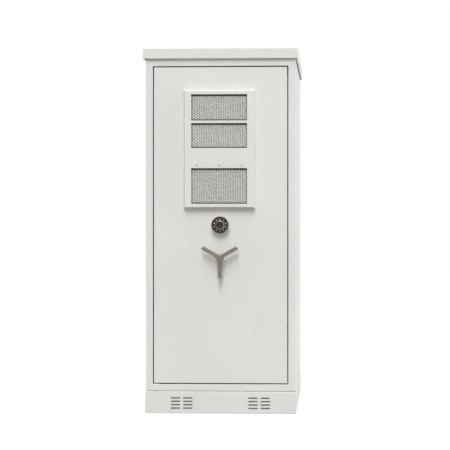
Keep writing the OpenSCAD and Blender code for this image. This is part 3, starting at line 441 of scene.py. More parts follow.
def moulded(name, light, shade, roughness, grain=600.0, depth=0.06, gloss=0.5):
    """Moulded plastic, rubber or enamel with a fine grain."""
    spread = 0.06
    material, tree, surface = finish(name, roughness)
    surface.inputs["Specular IOR Level"].default_value = gloss
    coat = use_group(tree, COAT_GRAIN, Peel_Scale=grain, Drift_Scale=12.0)
    tree.links.new(two_tone(tree, coat["Tone"], shade, light), surface.inputs["Base Color"])
    worn = map_range(tree, coat["Height"], *NOISE_SPAN, roughness - spread, roughness + spread)
    tree.links.new(worn, surface.inputs["Roughness"])
    bump(tree, surface, coat["Height"], depth, 0.5)
    return material


def filter_foam():
    """Open dark mat from cells: darker in the middle of each pore as painted shade, lighter on the fibres."""
    material, tree, surface = finish("filter_foam", 0.95)
    cells = tree.nodes.new("ShaderNodeTexVoronoi")
    cells.inputs["Scale"].default_value = 350.0
    tree.links.new(object_place(tree), cells.inputs["Vector"])
    pore_shade = map_range(tree, cells.outputs["Distance"], 0.1, 0.7, 0.0, 1.0)
    fibres = two_tone(tree, pore_shade, (0.012, 0.012, 0.013), (0.055, 0.053, 0.05))
    tree.links.new(fibres, surface.inputs["Base Color"])
    bump(tree, surface, cells.outputs["Distance"], 1.2, 0.8)
    return material


# Each finish by its light tone, its shade and its roughness
WHITE = white_coat("white_paint", (0.735, 0.738, 0.725), (0.70, 0.703, 0.69))
ZINC = metal("zinc_plate", (0.66, 0.67, 0.68), (0.56, 0.57, 0.58), 0.34)
RUBBER = moulded("black_rubber", (0.03, 0.03, 0.03), (0.018, 0.018, 0.018), 0.75, grain=900.0)
COPPER = metal("copper", (0.72, 0.40, 0.25), (0.58, 0.30, 0.18), 0.3)
INSULATOR = moulded("red_insulator", (0.34, 0.05, 0.035), (0.26, 0.035, 0.025), 0.45)
BRONZE = metal("bronze", (0.23, 0.165, 0.095), (0.15, 0.105, 0.06), 0.42)
MESH_STEEL = metal("mesh_steel", (0.84, 0.84, 0.825), (0.70, 0.70, 0.685), 0.55,
                   across=900.0, along=900.0, cloud=120.0, bare=0.25)
FOAM = filter_foam()
FAN_BLACK = moulded("fan_plastic", (0.03, 0.03, 0.032), (0.02, 0.02, 0.021), 0.5)
CHROME = metal("ring_chrome", (0.56, 0.545, 0.52), (0.47, 0.455, 0.43), 0.13,
               across=300.0, along=300.0, cloud=60.0, spread=0.03)
ENAMEL = moulded("dial_enamel", (0.014, 0.011, 0.009), (0.009, 0.007, 0.006), 0.35,
                 grain=500.0, depth=0.02, gloss=0.22)
NICKEL = metal("satin_nickel", (0.245, 0.212, 0.172), (0.205, 0.177, 0.143), 0.25,
               across=500.0, along=500.0, cloud=70.0, spread=0.04)
COLLAR_NICKEL = metal("collar_nickel", (0.34, 0.305, 0.25), (0.28, 0.25, 0.205), 0.28,
                      across=500.0, along=500.0, cloud=70.0, spread=0.04)
RIVET_ZINC = metal("dulled_zinc", (0.36, 0.35, 0.34), (0.28, 0.27, 0.26), 0.5)
# Grey, not black rubber: painted light that lightens the door gap
GAP_LIGHT_SEAL = moulded("door_seal", (0.24, 0.24, 0.23), (0.19, 0.19, 0.18), 0.7, grain=900.0)
KNOB_BROWN = metal("dial_knob", (0.055, 0.044, 0.037), (0.040, 0.032, 0.027), 0.36,
                   across=700.0, along=700.0, cloud=90.0)
NYLON = moulded("nylon", (0.72, 0.72, 0.68), (0.66, 0.66, 0.62), 0.5)
DIAL_WHITE = moulded("dial_marks", (0.70, 0.67, 0.58), (0.60, 0.57, 0.49), 0.5)

FINISH_OF_SLOT = {
    "white_paint": WHITE, "zinc_plate": ZINC, "black_rubber": RUBBER, "copper": COPPER,
    "red_insulator": INSULATOR, "bronze": BRONZE, "mesh_steel": MESH_STEEL, "filter_foam": FOAM,
    "fan_plastic": FAN_BLACK, "ring_chrome": CHROME, "dial_enamel": ENAMEL, "satin_nickel": NICKEL,
    "nylon": NYLON,
}


def dress_solids():
    """Gives every solid of the frame its finish."""
    for node, slot in SLOT_OF.items():
        materials = frame["nodes"][node].data.materials
        materials.clear()
        materials.append(FINISH_OF_SLOT[slot])


dress_solids()


# Folded sheet parts and housings, with their bends rounded; outer radius in millimetres

BEND_OF_NODE = {
    "roof_cap": 3.0, "plinth": 3.0, "front_frame": 2.5, "left_side_panel": 2.5,
    "right_side_panel": 2.5, "door_panel": 2.5, "vent_cover": 2.0, "door_stiffeners": 2.0,
    "lock_case": 2.0, "rear_panel": 1.0, "top_panel": 1.0, "floor_panel": 1.0, "gland_plate": 1.0,
    "lower_front_crossbar": 2.0, "lower_rear_crossbar": 2.0, "upper_front_crossbar": 2.0,
    "upper_rear_crossbar": 2.0,
}
for sheet_node, sheet_bend in BEND_OF_NODE.items():
    soften(sheet_node, sheet_bend)


# Trees that grow what repeats

def geometry_tree(name, inputs):
    """Empty geometry tree with named inputs; returns it with its inputs and its output node."""
    tree = bpy.data.node_groups.new(name, "GeometryNodeTree")
    for label, kind, value in inputs:
        socket = tree.interface.new_socket(label, in_out="INPUT", socket_type="NodeSocket" + kind)
        if value is not None:
            socket.default_value = value
    tree.interface.new_socket("Result", in_out="OUTPUT", socket_type="NodeSocketGeometry")
    return tree, tree.nodes.new("NodeGroupInput").outputs, tree.nodes.new("NodeGroupOutput")


def step(tree, kind, settings=None, **sockets):
    """Adds a node; a socket given by name takes a number, a vector or another node's output."""
    node = tree.nodes.new(kind)
    for label, value in (settings or {}).items():
        setattr(node, label, value)
    for label, value in sockets.items():
        wanted = label.replace("_", " ")
        feed(tree, next(s for s in node.inputs if s.enabled and s.name == wanted), value)
    return node.outputs[0]


def vector(tree, x=0.0, y=0.0, z=0.0):
    """Vector from numbers or sockets."""
    return step(tree, "ShaderNodeCombineXYZ", X=x, Y=y, Z=z)


def joined(tree, *parts):
    """Joins several geometries."""
    node = tree.nodes.new("GeometryNodeJoinGeometry")
    for part in parts:
        tree.links.new(part, node.inputs[0])
    return node.outputs[0]


def ends_in(tree, output, geometry, material):
    """Closes a tree with realised instances and their finish."""
    plain = step(tree, "GeometryNodeRealizeInstances", Geometry=geometry)
    dressed = step(tree, "GeometryNodeSetMaterial", Geometry=plain, Material=material)
    tree.links.new(dressed, output.inputs[0])


def grow(name, tree, seeds=(), **values):
    """Runs a tree on a piece that has the seed points, and keeps the result as a plain mesh."""
    mesh = bpy.data.meshes.new(name)
    mesh.from_pydata([tuple(point) for point in seeds], [], [])
    piece = link(name, mesh)
    growth = piece.modifiers.new("growth", "NODES")
    growth.node_group = tree
    for item in tree.interface.items_tree:
        key = item.name.replace(" ", "_")
        if item.in_out == "INPUT" and key in values:
            growth[item.identifier] = values[key]
    baked(piece).data.materials.clear()
    piece.data.materials.append(values["Material"])
    return piece


# Expanded metal, dark strips of painted shade and filter mats of the vent, in millimetres

VENT_FLANK = 10  # from the cover's top edge to the top of its face
# Label, coarse sheet, drop of the sill below the top of the face, and height of each window
WINDOWS = [("top", "upper_mesh", 145, 129), ("middle", "upper_mesh", 280, 122),
           ("low", "lower_mesh", 555, 175)]
MESH_COLUMNS, MESH_LONG_PITCH, MESH_ROW_PITCH = 16, 17, 8.4
MESH_STRAND, MESH_THICKNESS, MESH_TILT_DEG = 3.55, 0.8, 30
MESH_ROOM = 1    # left free over the height of a window
MESH_RISE = 1.5  # of the lowest row over the sill
# Dark strips of painted shade at the windows' heads and sills
SHADE_STRIP_FRONT, SHADE_STRIP_BACK = 4.4, 7.3  # behind the cover's face
SHADE_STRIP_HALF_WIDTH, SHADE_STRIP_GAP = 137.8, 0.1
SILL_SHADE_STRIP, HEAD_SHADE_STRIP = 5.6, 7
MAT_COLUMNS = 96
MAT_ROOM_LOW, MAT_ROOM_HIGH = Vector((1, 0.5, 1)), Vector((1, 0.3, 1))
MAT_EDGE = 9     # width of a mat's rounded rim
MAT_MERGE = 0.01
MAT_CREASE_DEG = 70
QUILT_SIZE, QUILT_SHARE = 7, 0.05


def expanded_metal_tree():
    """Staggered rows of knuckles, each with two slanted strands that rise to the next row."""
    tree, given, output = geometry_tree("expanded_metal", [
        ("Columns", "Int", 13), ("Rows", "Int", 30), ("Long Pitch", "Float", 0.022),
        ("Short Pitch", "Float", 0.009), ("Strand Width", "Float", 0.002),
        ("Thickness", "Float", 0.0008), ("Tilt", "Float", 0.6), ("Centre", "Vector", None),
        ("Material", "Material", None)])
    half_run = sums(tree, "MULTIPLY", given["Long Pitch"], 0.5)
    half_rise = sums(tree, "MULTIPLY", given["Short Pitch"], 0.5)
    flat = sums(tree, "MULTIPLY", given["Long Pitch"], 0.20)
    ribbon = step(tree, "GeometryNodeCurvePrimitiveQuadrilateral", Width=given["Strand Width"],
                  Height=given["Thickness"])
    ribbon = step(tree, "GeometryNodeTransform", Geometry=ribbon,
                  Rotation=vector(tree, z=given["Tilt"]))
    rising = (0.0, half_run, 0.0, half_rise)
    falling = (sums(tree, "MULTIPLY", half_run, -1.0), 0.0, half_rise, 0.0)
    strands = []
    for from_x, to_x, from_y, to_y in (rising, falling):
        line = step(tree, "GeometryNodeCurvePrimitiveBezierSegment", Resolution=5,
                    Start=vector(tree, from_x, from_y),
                    Start_Handle=vector(tree, sums(tree, "ADD", flat, from_x), from_y),
                    End_Handle=vector(tree, sums(tree, "SUBTRACT", to_x, flat), to_y),
                    End=vector(tree, to_x, to_y))
        line = step(tree, "GeometryNodeSetCurveNormal", {"mode": "Z_UP"}, Curve=line)
        strands.append(step(tree, "GeometryNodeCurveToMesh", Curve=line, Profile_Curve=ribbon))
    knuckle = joined(tree, *strands)
    run = sums(tree, "MULTIPLY", sums(tree, "SUBTRACT", given["Columns"], 1.0), given["Long Pitch"])
    rise = sums(tree, "MULTIPLY", sums(tree, "SUBTRACT", given["Rows"], 1.0), given["Short Pitch"])
    grid = step(tree, "GeometryNodeMeshGrid", Size_X=run, Size_Y=rise, Vertices_X=given["Columns"],
                Vertices_Y=given["Rows"])
    between = step(tree, "GeometryNodeTransform", Geometry=grid,
                   Translation=vector(tree, half_run, half_rise))
    lattice = step(tree, "GeometryNodeInstanceOnPoints", Points=joined(tree, grid, between),
                   Instance=knuckle)
    upright = step(tree, "GeometryNodeTransform", Geometry=lattice, Translation=given["Centre"],
                   Rotation=UPRIGHT)
    ends_in(tree, output, upright, given["Material"])
    return tree


def vent_windows():
    """Label, coarse sheet, sill height and height of each window, in metres."""
    face_top = vent_high.z - VENT_FLANK * MM
    return [(label, node, face_top - drop * MM, height * MM)
            for label, node, drop, height in WINDOWS]


def vent_meshes():
    """One fine panel inside each window in place of the two coarse sheets."""
    tree = expanded_metal_tree()
    long_pitch = MESH_LONG_PITCH * MM
    mesh_y = (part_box("upper_mesh")[0].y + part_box("upper_mesh")[1].y) / 2
    for label, node, sill, height in vent_windows():
        rows = round(height / (MESH_ROW_PITCH * MM))
        short_pitch = (height - MESH_ROOM * MM) / (rows + 0.5)
        middle_z = sill + MESH_RISE * MM + (rows - 1) * short_pitch / 2
        piece = grow(label + "_window_mesh", tree, Columns=MESH_COLUMNS, Rows=rows,
                     Long_Pitch=long_pitch, Short_Pitch=short_pitch,
                     Strand_Width=MESH_STRAND * MM, Thickness=MESH_THICKNESS * MM,
                     Tilt=math.radians(MESH_TILT_DEG),
                     Centre=Vector((VENT_X - long_pitch / 4, mesh_y, middle_z)),
                     Material=MESH_STEEL)
        settle(piece, "door", "mesh_steel", node)


def window_edging():
    """Dark rubber strips at each window's head and sill, just in front of its mesh: painted shade."""
    front, back = VENT_FACE_Y + SHADE_STRIP_FRONT * MM, VENT_FACE_Y + SHADE_STRIP_BACK * MM
    reach, gap = SHADE_STRIP_HALF_WIDTH * MM, SHADE_STRIP_GAP * MM
    nose, corner = 1.2 * MM, 0.4 * MM
    work = bmesh.new()
    for _, _, sill, height in vent_windows():
        head = sill + height
        strips = ((sill + gap, sill + SILL_SHADE_STRIP * MM, nose),
                  (head - gap, head - HEAD_SHADE_STRIP * MM, -nose))
        for root, lip, bend in strips:
            outline = [(back, root), (front, root), (front, lip - bend),
                       (front + corner, lip - 0.35 * bend), (front + nose, lip),
                       (back - corner, lip), (back, lip - 0.4 * bend)]
            ends = [[work.verts.new((VENT_X + x, y, z)) for y, z in outline]
                    for x in (-reach, reach)]
            for k in range(len(outline)):
                after = (k + 1) % len(outline)
                work.faces.new((ends[0][k], ends[0][after], ends[1][after], ends[1][k]))
            for end in ends:
                work.faces.new(end)
    bmesh.ops.recalc_face_normals(work, faces=work.faces)
    mesh = plain_mesh(work, "window_edging")
    shade_smooth(mesh)
    settle(link("window_edging", mesh, RUBBER), "door", "black_rubber")


def filter_mat(node):
    """Crowned fibre mat with rounded edges and a shallow quilted face, in a plain block's place."""
    low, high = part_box(node)
    low, high = low + MAT_ROOM_LOW * MM, high - MAT_ROOM_HIGH * MM
    rows = max(8, round(MAT_COLUMNS * (high.z - low.z) / (high.x - low.x)))
    half, middle = (high.y - low.y) / 2, (high.y + low.y) / 2
    edge, stitch = MAT_EDGE * MM, QUILT_SIZE * MM
    work = bmesh.new()
    for side in (-1, 1):
        grid = []
        for row in range(rows + 1):
            line = []
            for column in range(MAT_COLUMNS + 1):
                x = low.x + (high.x - low.x) * column / MAT_COLUMNS
                z = low.z + (high.z - low.z) * row / rows
                inset = min(x - low.x, high.x - x, z - low.z, high.z - z, edge) / edge
                crown = math.sqrt(max(0.0, 1 - (1 - inset) ** 2))
                quilt = 1 - QUILT_SHARE * (1 + math.sin(x / stitch) * math.sin(z / stitch))
                line.append(work.verts.new((x, middle + side * half * crown * quilt, z)))
            grid.append(line)
        for under, over in zip(grid, grid[1:]):
            for k in range(MAT_COLUMNS):
                work.faces.new((under[k], under[k + 1], over[k + 1], over[k]))
    bmesh.ops.remove_doubles(work, verts=work.verts, dist=MAT_MERGE * MM)
    bmesh.ops.recalc_face_normals(work, faces=work.faces)
    mesh = plain_mesh(work, node + "_mat")
    shade_smooth(mesh, math.radians(MAT_CREASE_DEG))
    piece = settle(link(node + "_mat", mesh, FOAM), "door", "filter_foam", node)


vent_meshes()
window_edging()
for filter_node in ("upper_filter", "lower_filter"):
    filter_mat(filter_node)


# Round bars, bushes, castings and mouldings, with their edges broken

BROKEN_EDGE = {"bend": 0.8, "inner": 0.4, "cut": 0.3, "steps": 2}
TURNED_NODES = """roof_spacers roof_studs earth_bar earth_standoffs cable_grommets lower_pivot_pin
upper_pivot_pin thrust_washer pivot_nuts plinth_bolts lower_fan_frame upper_fan_frame
lower_fan_rotor upper_fan_rotor handle_bush edge_guides rod_saddles lower_door_bush
upper_door_bush handle_spindle cam spindle_nut side_bolts top_rod bottom_rod dial_spindle
front_left_rail front_right_rail rear_left_rail rear_right_rail""".split()
for turned_node in TURNED_NODES:
    soften(turned_node, **BROKEN_EDGE)
# Grey seal: painted light in the door gap
soften("door_gasket", **BROKEN_EDGE, material=GAP_LIGHT_SEAL)


# Screws and rivets, in millimetres

SCREW_HEAD, RIVET_HEAD = 3.0, 1.8  # height of a head
TO_FRONT, TO_BACK = 0.0, math.pi   # turn of a fastener whose head faces that way


def islands(node):
    """Lowest and highest corner of each separate solid in a node."""
    work = bmesh.new()
    work.from_mesh(frame["nodes"][node].data)
    bmesh.ops.remove_doubles(work, verts=work.verts, dist=MERGE_GAP)
    boxes, seen = [], set()
    for first in work.verts:
        if first in seen:
            continue
        group, waiting = [], [first]
        seen.add(first)
        while waiting:
            vert = waiting.pop()
            group.append(vert.co.copy())
            for edge in vert.link_edges:
                other = edge.other_vert(vert)
                if other not in seen:
                    seen.add(other)
                    waiting.append(other)
        boxes.append((Vector([min(c[i] for c in group) for i in range(3)]),
                      Vector([max(c[i] for c in group) for i in range(3)])))
    work.free()
    return boxes


def fastener_tree():
    """The same fastener at every seed point, turned about the upright axis."""
    tree, given, output = geometry_tree("fasteners", [
        ("Seeds", "Geometry", None), ("Fastener", "Object", None), ("Turn", "Float", 0.0),
        ("Material", "Material", None)])
    shape = tree.nodes.new("GeometryNodeObjectInfo")
    tree.links.new(given["Fastener"], shape.inputs["Object"])
    placed = step(tree, "GeometryNodeInstanceOnPoints", Points=given["Seeds"],
                  Instance=shape.outputs["Geometry"], Rotation=vector(tree, z=given["Turn"]))
    ends_in(tree, output, placed, given["Material"])
    return tree


FASTENERS = fastener_tree()


def six_lobe_screw(head_r, shank_r, shank_len):
    """Pan-head screw with a six-lobe recess; its head faces -Y and its seat is at y = 0."""
    recess = 0.38 * head_r
    lobe = 0.12 * recess
    profile = [(0, shank_len), (0.7 * shank_r, shank_len), (shank_r, shank_len - 0.4 * shank_r),
               (shank_r, 0), (0.96 * head_r, 0), (head_r, -0.08 * SCREW_HEAD),
               (head_r, -0.3 * SCREW_HEAD), (0.93 * head_r, -0.62 * SCREW_HEAD),
               (0.78 * head_r, -0.86 * SCREW_HEAD), (0.6 * head_r, -SCREW_HEAD),
               (recess, -SCREW_HEAD, lobe), (recess, -0.45 * SCREW_HEAD, lobe),
               (0, -0.4 * SCREW_HEAD)]
    return [tuple(v * MM for v in point) for point in profile]


def blind_rivet(head_r, body_r, shoulder_r, shoulder_from, shoulder_to, tail_r, tail_to):
    """Dome-head rivet with the broken pin in its middle, a shoulder and a set tail."""
    tail_from = shoulder_to + 1.5
    profile = [(0, tail_to), (0.7 * tail_r, tail_to), (tail_r, tail_to - 0.4), (tail_r, tail_from),
               (body_r, tail_from), (body_r, shoulder_to), (shoulder_r, shoulder_to),
               (shoulder_r, shoulder_from), (body_r, shoulder_from), (body_r, 0),
               (0.97 * head_r, 0), (head_r, -0.12 * RIVET_HEAD), (0.9 * head_r, -0.45 * RIVET_HEAD),
               (0.7 * head_r, -0.78 * RIVET_HEAD), (0.45 * head_r, -RIVET_HEAD),
               (0.34 * head_r, -RIVET_HEAD), (0.30 * head_r, -0.55 * RIVET_HEAD),
               (0, -0.55 * RIVET_HEAD)]
    return [tuple(v * MM for v in point) for point in profile]


def seats(node, head, turn):
    """Points under the heads of a node's fasteners, for heads that face the front or the back."""
    places = []
    for low, high in islands(node):
        place = (low + high) / 2
        place.y = low.y + head * MM if turn == TO_FRONT else high.y - head * MM
        places.append(place)
    return places


def set_fasteners(name, node, profile, places, turn, material):
    """Grows one group of fasteners in place of part or all of a node."""
    pattern = link(name + "_pattern", revolve(name + "_pattern", profile, steps=36, lobes=6))
    piece = grow(name, FASTENERS, places, Fastener=pattern, Turn=turn, Material=material)
    bpy.data.objects.remove(pattern)
    settle(piece, BODY_OF[node], SLOT_OF[node], node)


def screws_and_rivets():
    """Rear panel screws, fan screws, rail screws and the rivets of the vent cover."""
    panel_screw = six_lobe_screw(head_r=5.5, shank_r=3.0, shank_len=6.0)
    fan_screw = six_lobe_screw(head_r=4.3, shank_r=2.15, shank_len=40.0)
    rivet = blind_rivet(head_r=4.0, body_r=2.0, shoulder_r=3.4, shoulder_from=1.5, shoulder_to=8.0,
                        tail_r=3.2, tail_to=10.7)
    for node, screw in (("panel_screws", panel_screw), ("fan_screws", fan_screw)):
        places = seats(node, SCREW_HEAD, TO_BACK)
        set_fasteners(node + "_finish", node, screw, places, TO_BACK, ZINC)
    front = [place for place in seats("rail_screws", SCREW_HEAD, TO_FRONT) if place.y < 0]
    rear = [place for place in seats("rail_screws", SCREW_HEAD, TO_BACK) if place.y > 0]
    for side, places, turn in (("front", front, TO_FRONT), ("rear", rear, TO_BACK)):
        set_fasteners(side + "_rail_screws_finish", "rail_screws", panel_screw, places, turn, ZINC)
    set_fasteners("vent_rivets_finish", "vent_rivets", rivet,
                  seats("vent_rivets", RIVET_HEAD, TO_FRONT), TO_FRONT, RIVET_ZINC)


screws_and_rivets()


# Wire finger guards behind the fans

def wire_guard_tree():
    """Rings, two crossed arms and a loop at each screw, in round wire, at every seed point."""
    tree, given, output = geometry_tree("wire_guard", [
        ("Seeds", "Geometry", None), ("Rings", "Int", 4), ("Ring Pitch", "Float", 0.0124),
        ("Wire Radius", "Float", 0.001), ("Arm Reach", "Float", 0.07),
        ("Loop Radius", "Float", 0.004), ("Material", "Material", None)])
    circle = step(tree, "GeometryNodeCurvePrimitiveCircle", Resolution=56, Radius=1.0)
    spots = step(tree, "GeometryNodeMeshLine", Count=given["Rings"], Offset=(0.0, 0.0, 0.0))
    number = step(tree, "GeometryNodeInputIndex")
    reach = sums(tree, "MULTIPLY", sums(tree, "ADD", number, 1.0), given["Ring Pitch"])
    rings = step(tree, "GeometryNodeInstanceOnPoints", Points=spots, Instance=circle,
                 Scale=vector(tree, reach, reach, reach))
    back = sums(tree, "MULTIPLY", given["Arm Reach"], -1.0)
    inner = sums(tree, "SUBTRACT", given["Arm Reach"], given["Loop Radius"])
    inner_back = sums(tree, "MULTIPLY", inner, -1.0)
    arm = step(tree, "GeometryNodeCurvePrimitiveLine", Start=vector(tree, inner_back),
               End=vector(tree, inner))
    loop = step(tree, "GeometryNodeCurvePrimitiveCircle", Resolution=20,
                Radius=given["Loop Radius"])
    parts = [rings]
    for angle in (45, 135):
        turned = [arm]
        for end in (given["Arm Reach"], back):
            turned.append(step(tree, "GeometryNodeTransform", Geometry=loop,
                               Translation=vector(tree, end)))
        parts.append(step(tree, "GeometryNodeTransform", Geometry=joined(tree, *turned),
                          Rotation=(0.0, 0.0, math.radians(angle))))
    plain = step(tree, "GeometryNodeRealizeInstances", Geometry=joined(tree, *parts))
    wire = step(tree, "GeometryNodeCurvePrimitiveCircle", Resolution=8, Radius=given["Wire Radius"])
    guard = step(tree, "GeometryNodeCurveToMesh", Curve=plain, Profile_Curve=wire, Fill_Caps=True)
    guard = step(tree, "GeometryNodeSetShadeSmooth", Geometry=guard)
    placed = step(tree, "GeometryNodeInstanceOnPoints", Points=given["Seeds"], Instance=guard,
                  Rotation=UPRIGHT)
    ends_in(tree, output, placed, given["Material"])
    return tree


def fan_guards():
    """Round wire in place of the flat guards."""
    seeds = [(low + high) / 2 for low, high in islands("fan_guards")]
    screws = [(low + high) / 2 for low, high in islands("fan_screws")]
    reach = min(math.hypot(screw.x - seed.x, screw.z - seed.z)
                for seed in seeds for screw in screws)
    piece = grow("fan_guards_finish", wire_guard_tree(), seeds, Rings=4, Ring_Pitch=12.9 * MM,
                 Wire_Radius=1.0 * MM, Arm_Reach=reach, Loop_Radius=3.6 * MM, Material=ZINC)
    settle(piece, "door", "zinc_plate", "fan_guards")


fan_guards()


# Lock dial: profiles as (radius, rise) in millimetres; a third number is the depth of the grip

DIAL_PLATE = [(0, 1), (18.4, 1), (19, 1.6), (19, 18), (39.3, 18), (40, 18.7), (40, 20.7),
              (39.6, 21.3), (36.6, 23.6), (35.8, 24), (23.4, 24), (23.4, 23), (0, 23)]
DIAL_KNOB = [(0, 23.2), (17, 23.2, 0), (17, 28.2, 0), (18.2, 28.4, 0.3), (18.4, 29, 0.6),
             (18.4, 38.4, 0.6), (18.0, 39.8, 0.5), (17.0, 41.4, 0.2), (15.6, 42), (13.8, 41.8),
             (13.2, 40.9), (12.4, 40.5), (0, 40.5)]
DIAL_COLLAR = [(17.1, 23.1), (23.3, 23.1), (23.2, 24.6), (22.6, 25.6), (20.6, 27.6), (19.8, 28),
               (17.1, 28)]
DIAL_RING = [(40.5, 0), (44, 0), (44, 22.4), (43.7, 24), (43.0, 25.2), (42.2, 25.9), (41.5, 25.9),
             (40.9, 25.4), (40.5, 24.6)]
MARKS_RISE, MARKS_THICKNESS = 24.05, 0.2
TICK_RADIUS, TICK_LENGTH, TICK_WIDTH, TENTH_SHARE = 34.2, 1.8, 0.4, 1.6
NUMERAL_RADIUS, NUMERAL_SIZE = 28.6, 7.4


def facing(profile):
    """Profile in metres, with its rise towards the front."""
    return [(point[0] * MM, -point[1] * MM, *(v * MM for v in point[2:])) for point in profile]


def turned_on_dial(name, profile, material, body, slot, *nodes, steps=96, lobes=0):
    """Piece turned about the dial's axis, in front of the door's face."""
    mesh = revolve(name, facing(profile), steps, lobes)
    mesh.transform(Matrix.Translation((0, DOOR_FACE_Y, DIAL_Z)))
    settle(link(name, mesh, material), body, slot, *nodes)


def dial_and_ring():
    """Dark dial with a gripped knob, a bright collar and a deep chrome ring."""
    turned_on_dial("dial_finish", DIAL_PLATE, ENAMEL, "dial", "dial_enamel", "dial")
    turned_on_dial("dial_knob", DIAL_KNOB, KNOB_BROWN, "dial", "dial_enamel", steps=192, lobes=24)
    turned_on_dial("dial_collar", DIAL_COLLAR, COLLAR_NICKEL, "dial", "satin_nickel")
    turned_on_dial("dial_ring_finish", DIAL_RING, CHROME, "door", "ring_chrome", "dial_ring")


def tick_tree():
    """Graduations round a dial, every tenth one longer and wider."""
    tree, given, output = geometry_tree("dial_ticks", [
        ("Count", "Int", 100), ("Radius", "Float", 0.034), ("Length", "Float", 0.003),
        ("Width", "Float", 0.0005), ("Height", "Float", 0.0002), ("Long Share", "Float", 1.6),
        ("Centre", "Vector", None), ("Material", "Material", None)])
    number = step(tree, "GeometryNodeInputIndex")
    spots = step(tree, "GeometryNodeMeshCircle", Vertices=given["Count"], Radius=given["Radius"])
    turn = sums(tree, "DIVIDE", sums(tree, "MULTIPLY", number, 2 * math.pi), given["Count"])
    tenth = sums(tree, "LESS_THAN", sums(tree, "MODULO", number, 10.0), 0.5)
    gain = sums(tree, "MULTIPLY", tenth, sums(tree, "SUBTRACT", given["Long Share"], 1.0))
    swell = sums(tree, "ADD", 1.0, gain)
    mark = step(tree, "GeometryNodeMeshCube",
                Size=vector(tree, given["Length"], given["Width"], given["Height"]))
    ticks = step(tree, "GeometryNodeInstanceOnPoints", Points=spots, Instance=mark,
                 Rotation=vector(tree, z=turn), Scale=vector(tree, swell, swell, 1.0))
    upright = step(tree, "GeometryNodeTransform", Geometry=ticks, Translation=given["Centre"],
                   Rotation=UPRIGHT)
    ends_in(tree, output, upright, given["Material"])
    return tree


def numeral(text, size, thickness):
    """Flat numeral as a mesh in the XY plane, centred on the origin."""
    curve = bpy.data.curves.new("numeral", "FONT")
    curve.body = text
    curve.size = size
    curve.align_x, curve.align_y = "CENTER", "CENTER"
    curve.extrude = thickness / 2
    curve.offset = 0.02 * size
    curve.resolution_u = 3
    piece = link("numeral", curve)
    evaluated = piece.evaluated_get(bpy.context.evaluated_depsgraph_get())
    mesh = bpy.data.meshes.new_from_object(evaluated)
    bpy.data.objects.remove(piece)
    return mesh


def dial_marks():
    """Ticks and the tens from 0 to 90 on the dial's flat face."""
    face = Vector((0, DOOR_FACE_Y - MARKS_RISE * MM, DIAL_Z))
    ticks = grow("dial_ticks", tick_tree(), Count=100, Radius=TICK_RADIUS * MM,
                 Length=TICK_LENGTH * MM, Width=TICK_WIDTH * MM, Height=MARKS_THICKNESS * MM,
                 Long_Share=TENTH_SHARE, Centre=face, Material=DIAL_WHITE)
    settle(ticks, "dial", "nylon")
    work = bmesh.new()
    for ten in range(10):
        mesh = numeral(str(10 * ten), NUMERAL_SIZE * MM, MARKS_THICKNESS * MM)
        mesh.transform(Matrix.Translation(face) @ Matrix.Rotation(math.radians(36 * ten), 4, "Y")
                       @ Matrix.Translation((0, 0, NUMERAL_RADIUS * MM))
                       @ Matrix.Rotation(math.pi / 2, 4, "X"))
        work.from_mesh(mesh)
    settle(link("dial_numerals", plain_mesh(work, "dial_numerals"), DIAL_WHITE), "dial", "nylon")


dial_and_ring()
dial_marks()


# Bolt handle: profiles as (radius, rise) of the hub and (radius, reach) of a spoke, in millimetres

HANDLE_HUB = [(0, 3.5), (14.5, 3.5), (15, 4.2), (15, 17.5), (16, 20.5), (19, 23.5), (20, 26.5),
              (20, 46.5), (19.2, 49.5), (16.5, 52), (13, 53.1), (0, 53.3)]
HANDLE_SPOKE = [(0, 0), (9.5, 0), (9.5, 30), (9.5, 97), (8.7, 100), (7.0, 101), (0, 101)]
SPOKE_RISE = 36
SPOKE_ANGLES = (180, 60, -60)
CASTING_GRAIN = 0.9  # size of the cells that fuse hub and spokes


def cast_handle():
    """Three spokes run into a hub and are blended with it as in a casting."""
    work = bmesh.new()
    work.from_mesh(revolve("hub", facing(HANDLE_HUB), steps=72))
    for angle in SPOKE_ANGLES:
        mesh = revolve("spoke", [(r * MM, y * MM) for r, y in HANDLE_SPOKE], steps=40)
        mesh.transform(Matrix.Rotation(math.radians(angle), 4, "Y")
                       @ Matrix.Translation((0, -SPOKE_RISE * MM, 0))
                       @ Matrix.Rotation(math.pi / 2, 4, "X"))
        work.from_mesh(mesh)
    mesh = plain_mesh(work, "handle_finish")
    mesh.transform(Matrix.Translation((0, DOOR_FACE_Y, HANDLE_Z)))
    piece = link("handle_finish", mesh, NICKEL)
    fuse = piece.modifiers.new("fuse", "REMESH")
    fuse.mode = "VOXEL"
    fuse.voxel_size = CASTING_GRAIN * MM
    fuse.use_smooth_shade = True
    blend = piece.modifiers.new("blend", "SMOOTH")
    blend.factor = 0.5
    blend.iterations = 10
    settle(baked(piece), "handle", "satin_nickel", "handle")


cast_handle()


# Stage, light and camera

FLOOR_HALF_WIDTH = 14.0
SHADED_FLOOR_INSET = 15 * MM  # of the darker patch of floor inside the plinth's foot, painted shade


def seen_directly(tree):
    """1 for what the camera, a mirror or glass sees, and 0 for light that falls on the cabinet."""
    path = tree.nodes.new("ShaderNodeLightPath").outputs
    mirrored = sums(tree, "MAXIMUM", path["Is Glossy Ray"], path["Is Transmission Ray"])
    return sums(tree, "MAXIMUM", path["Is Camera Ray"], mirrored)


def ground(name, tone, glow, strength, roughness):
    """Matt ground that glows only where it is seen."""
    material, tree, surface = finish(name, roughness)
    surface.inputs["Base Color"].default_value = (*tone, 1.0)
    surface.inputs["Emission Color"].default_value = (*glow, 1.0)
    shown = sums(tree, "MULTIPLY", seen_directly(tree), strength)
    tree.links.new(shown, surface.inputs["Emission Strength"])
    return material, surface


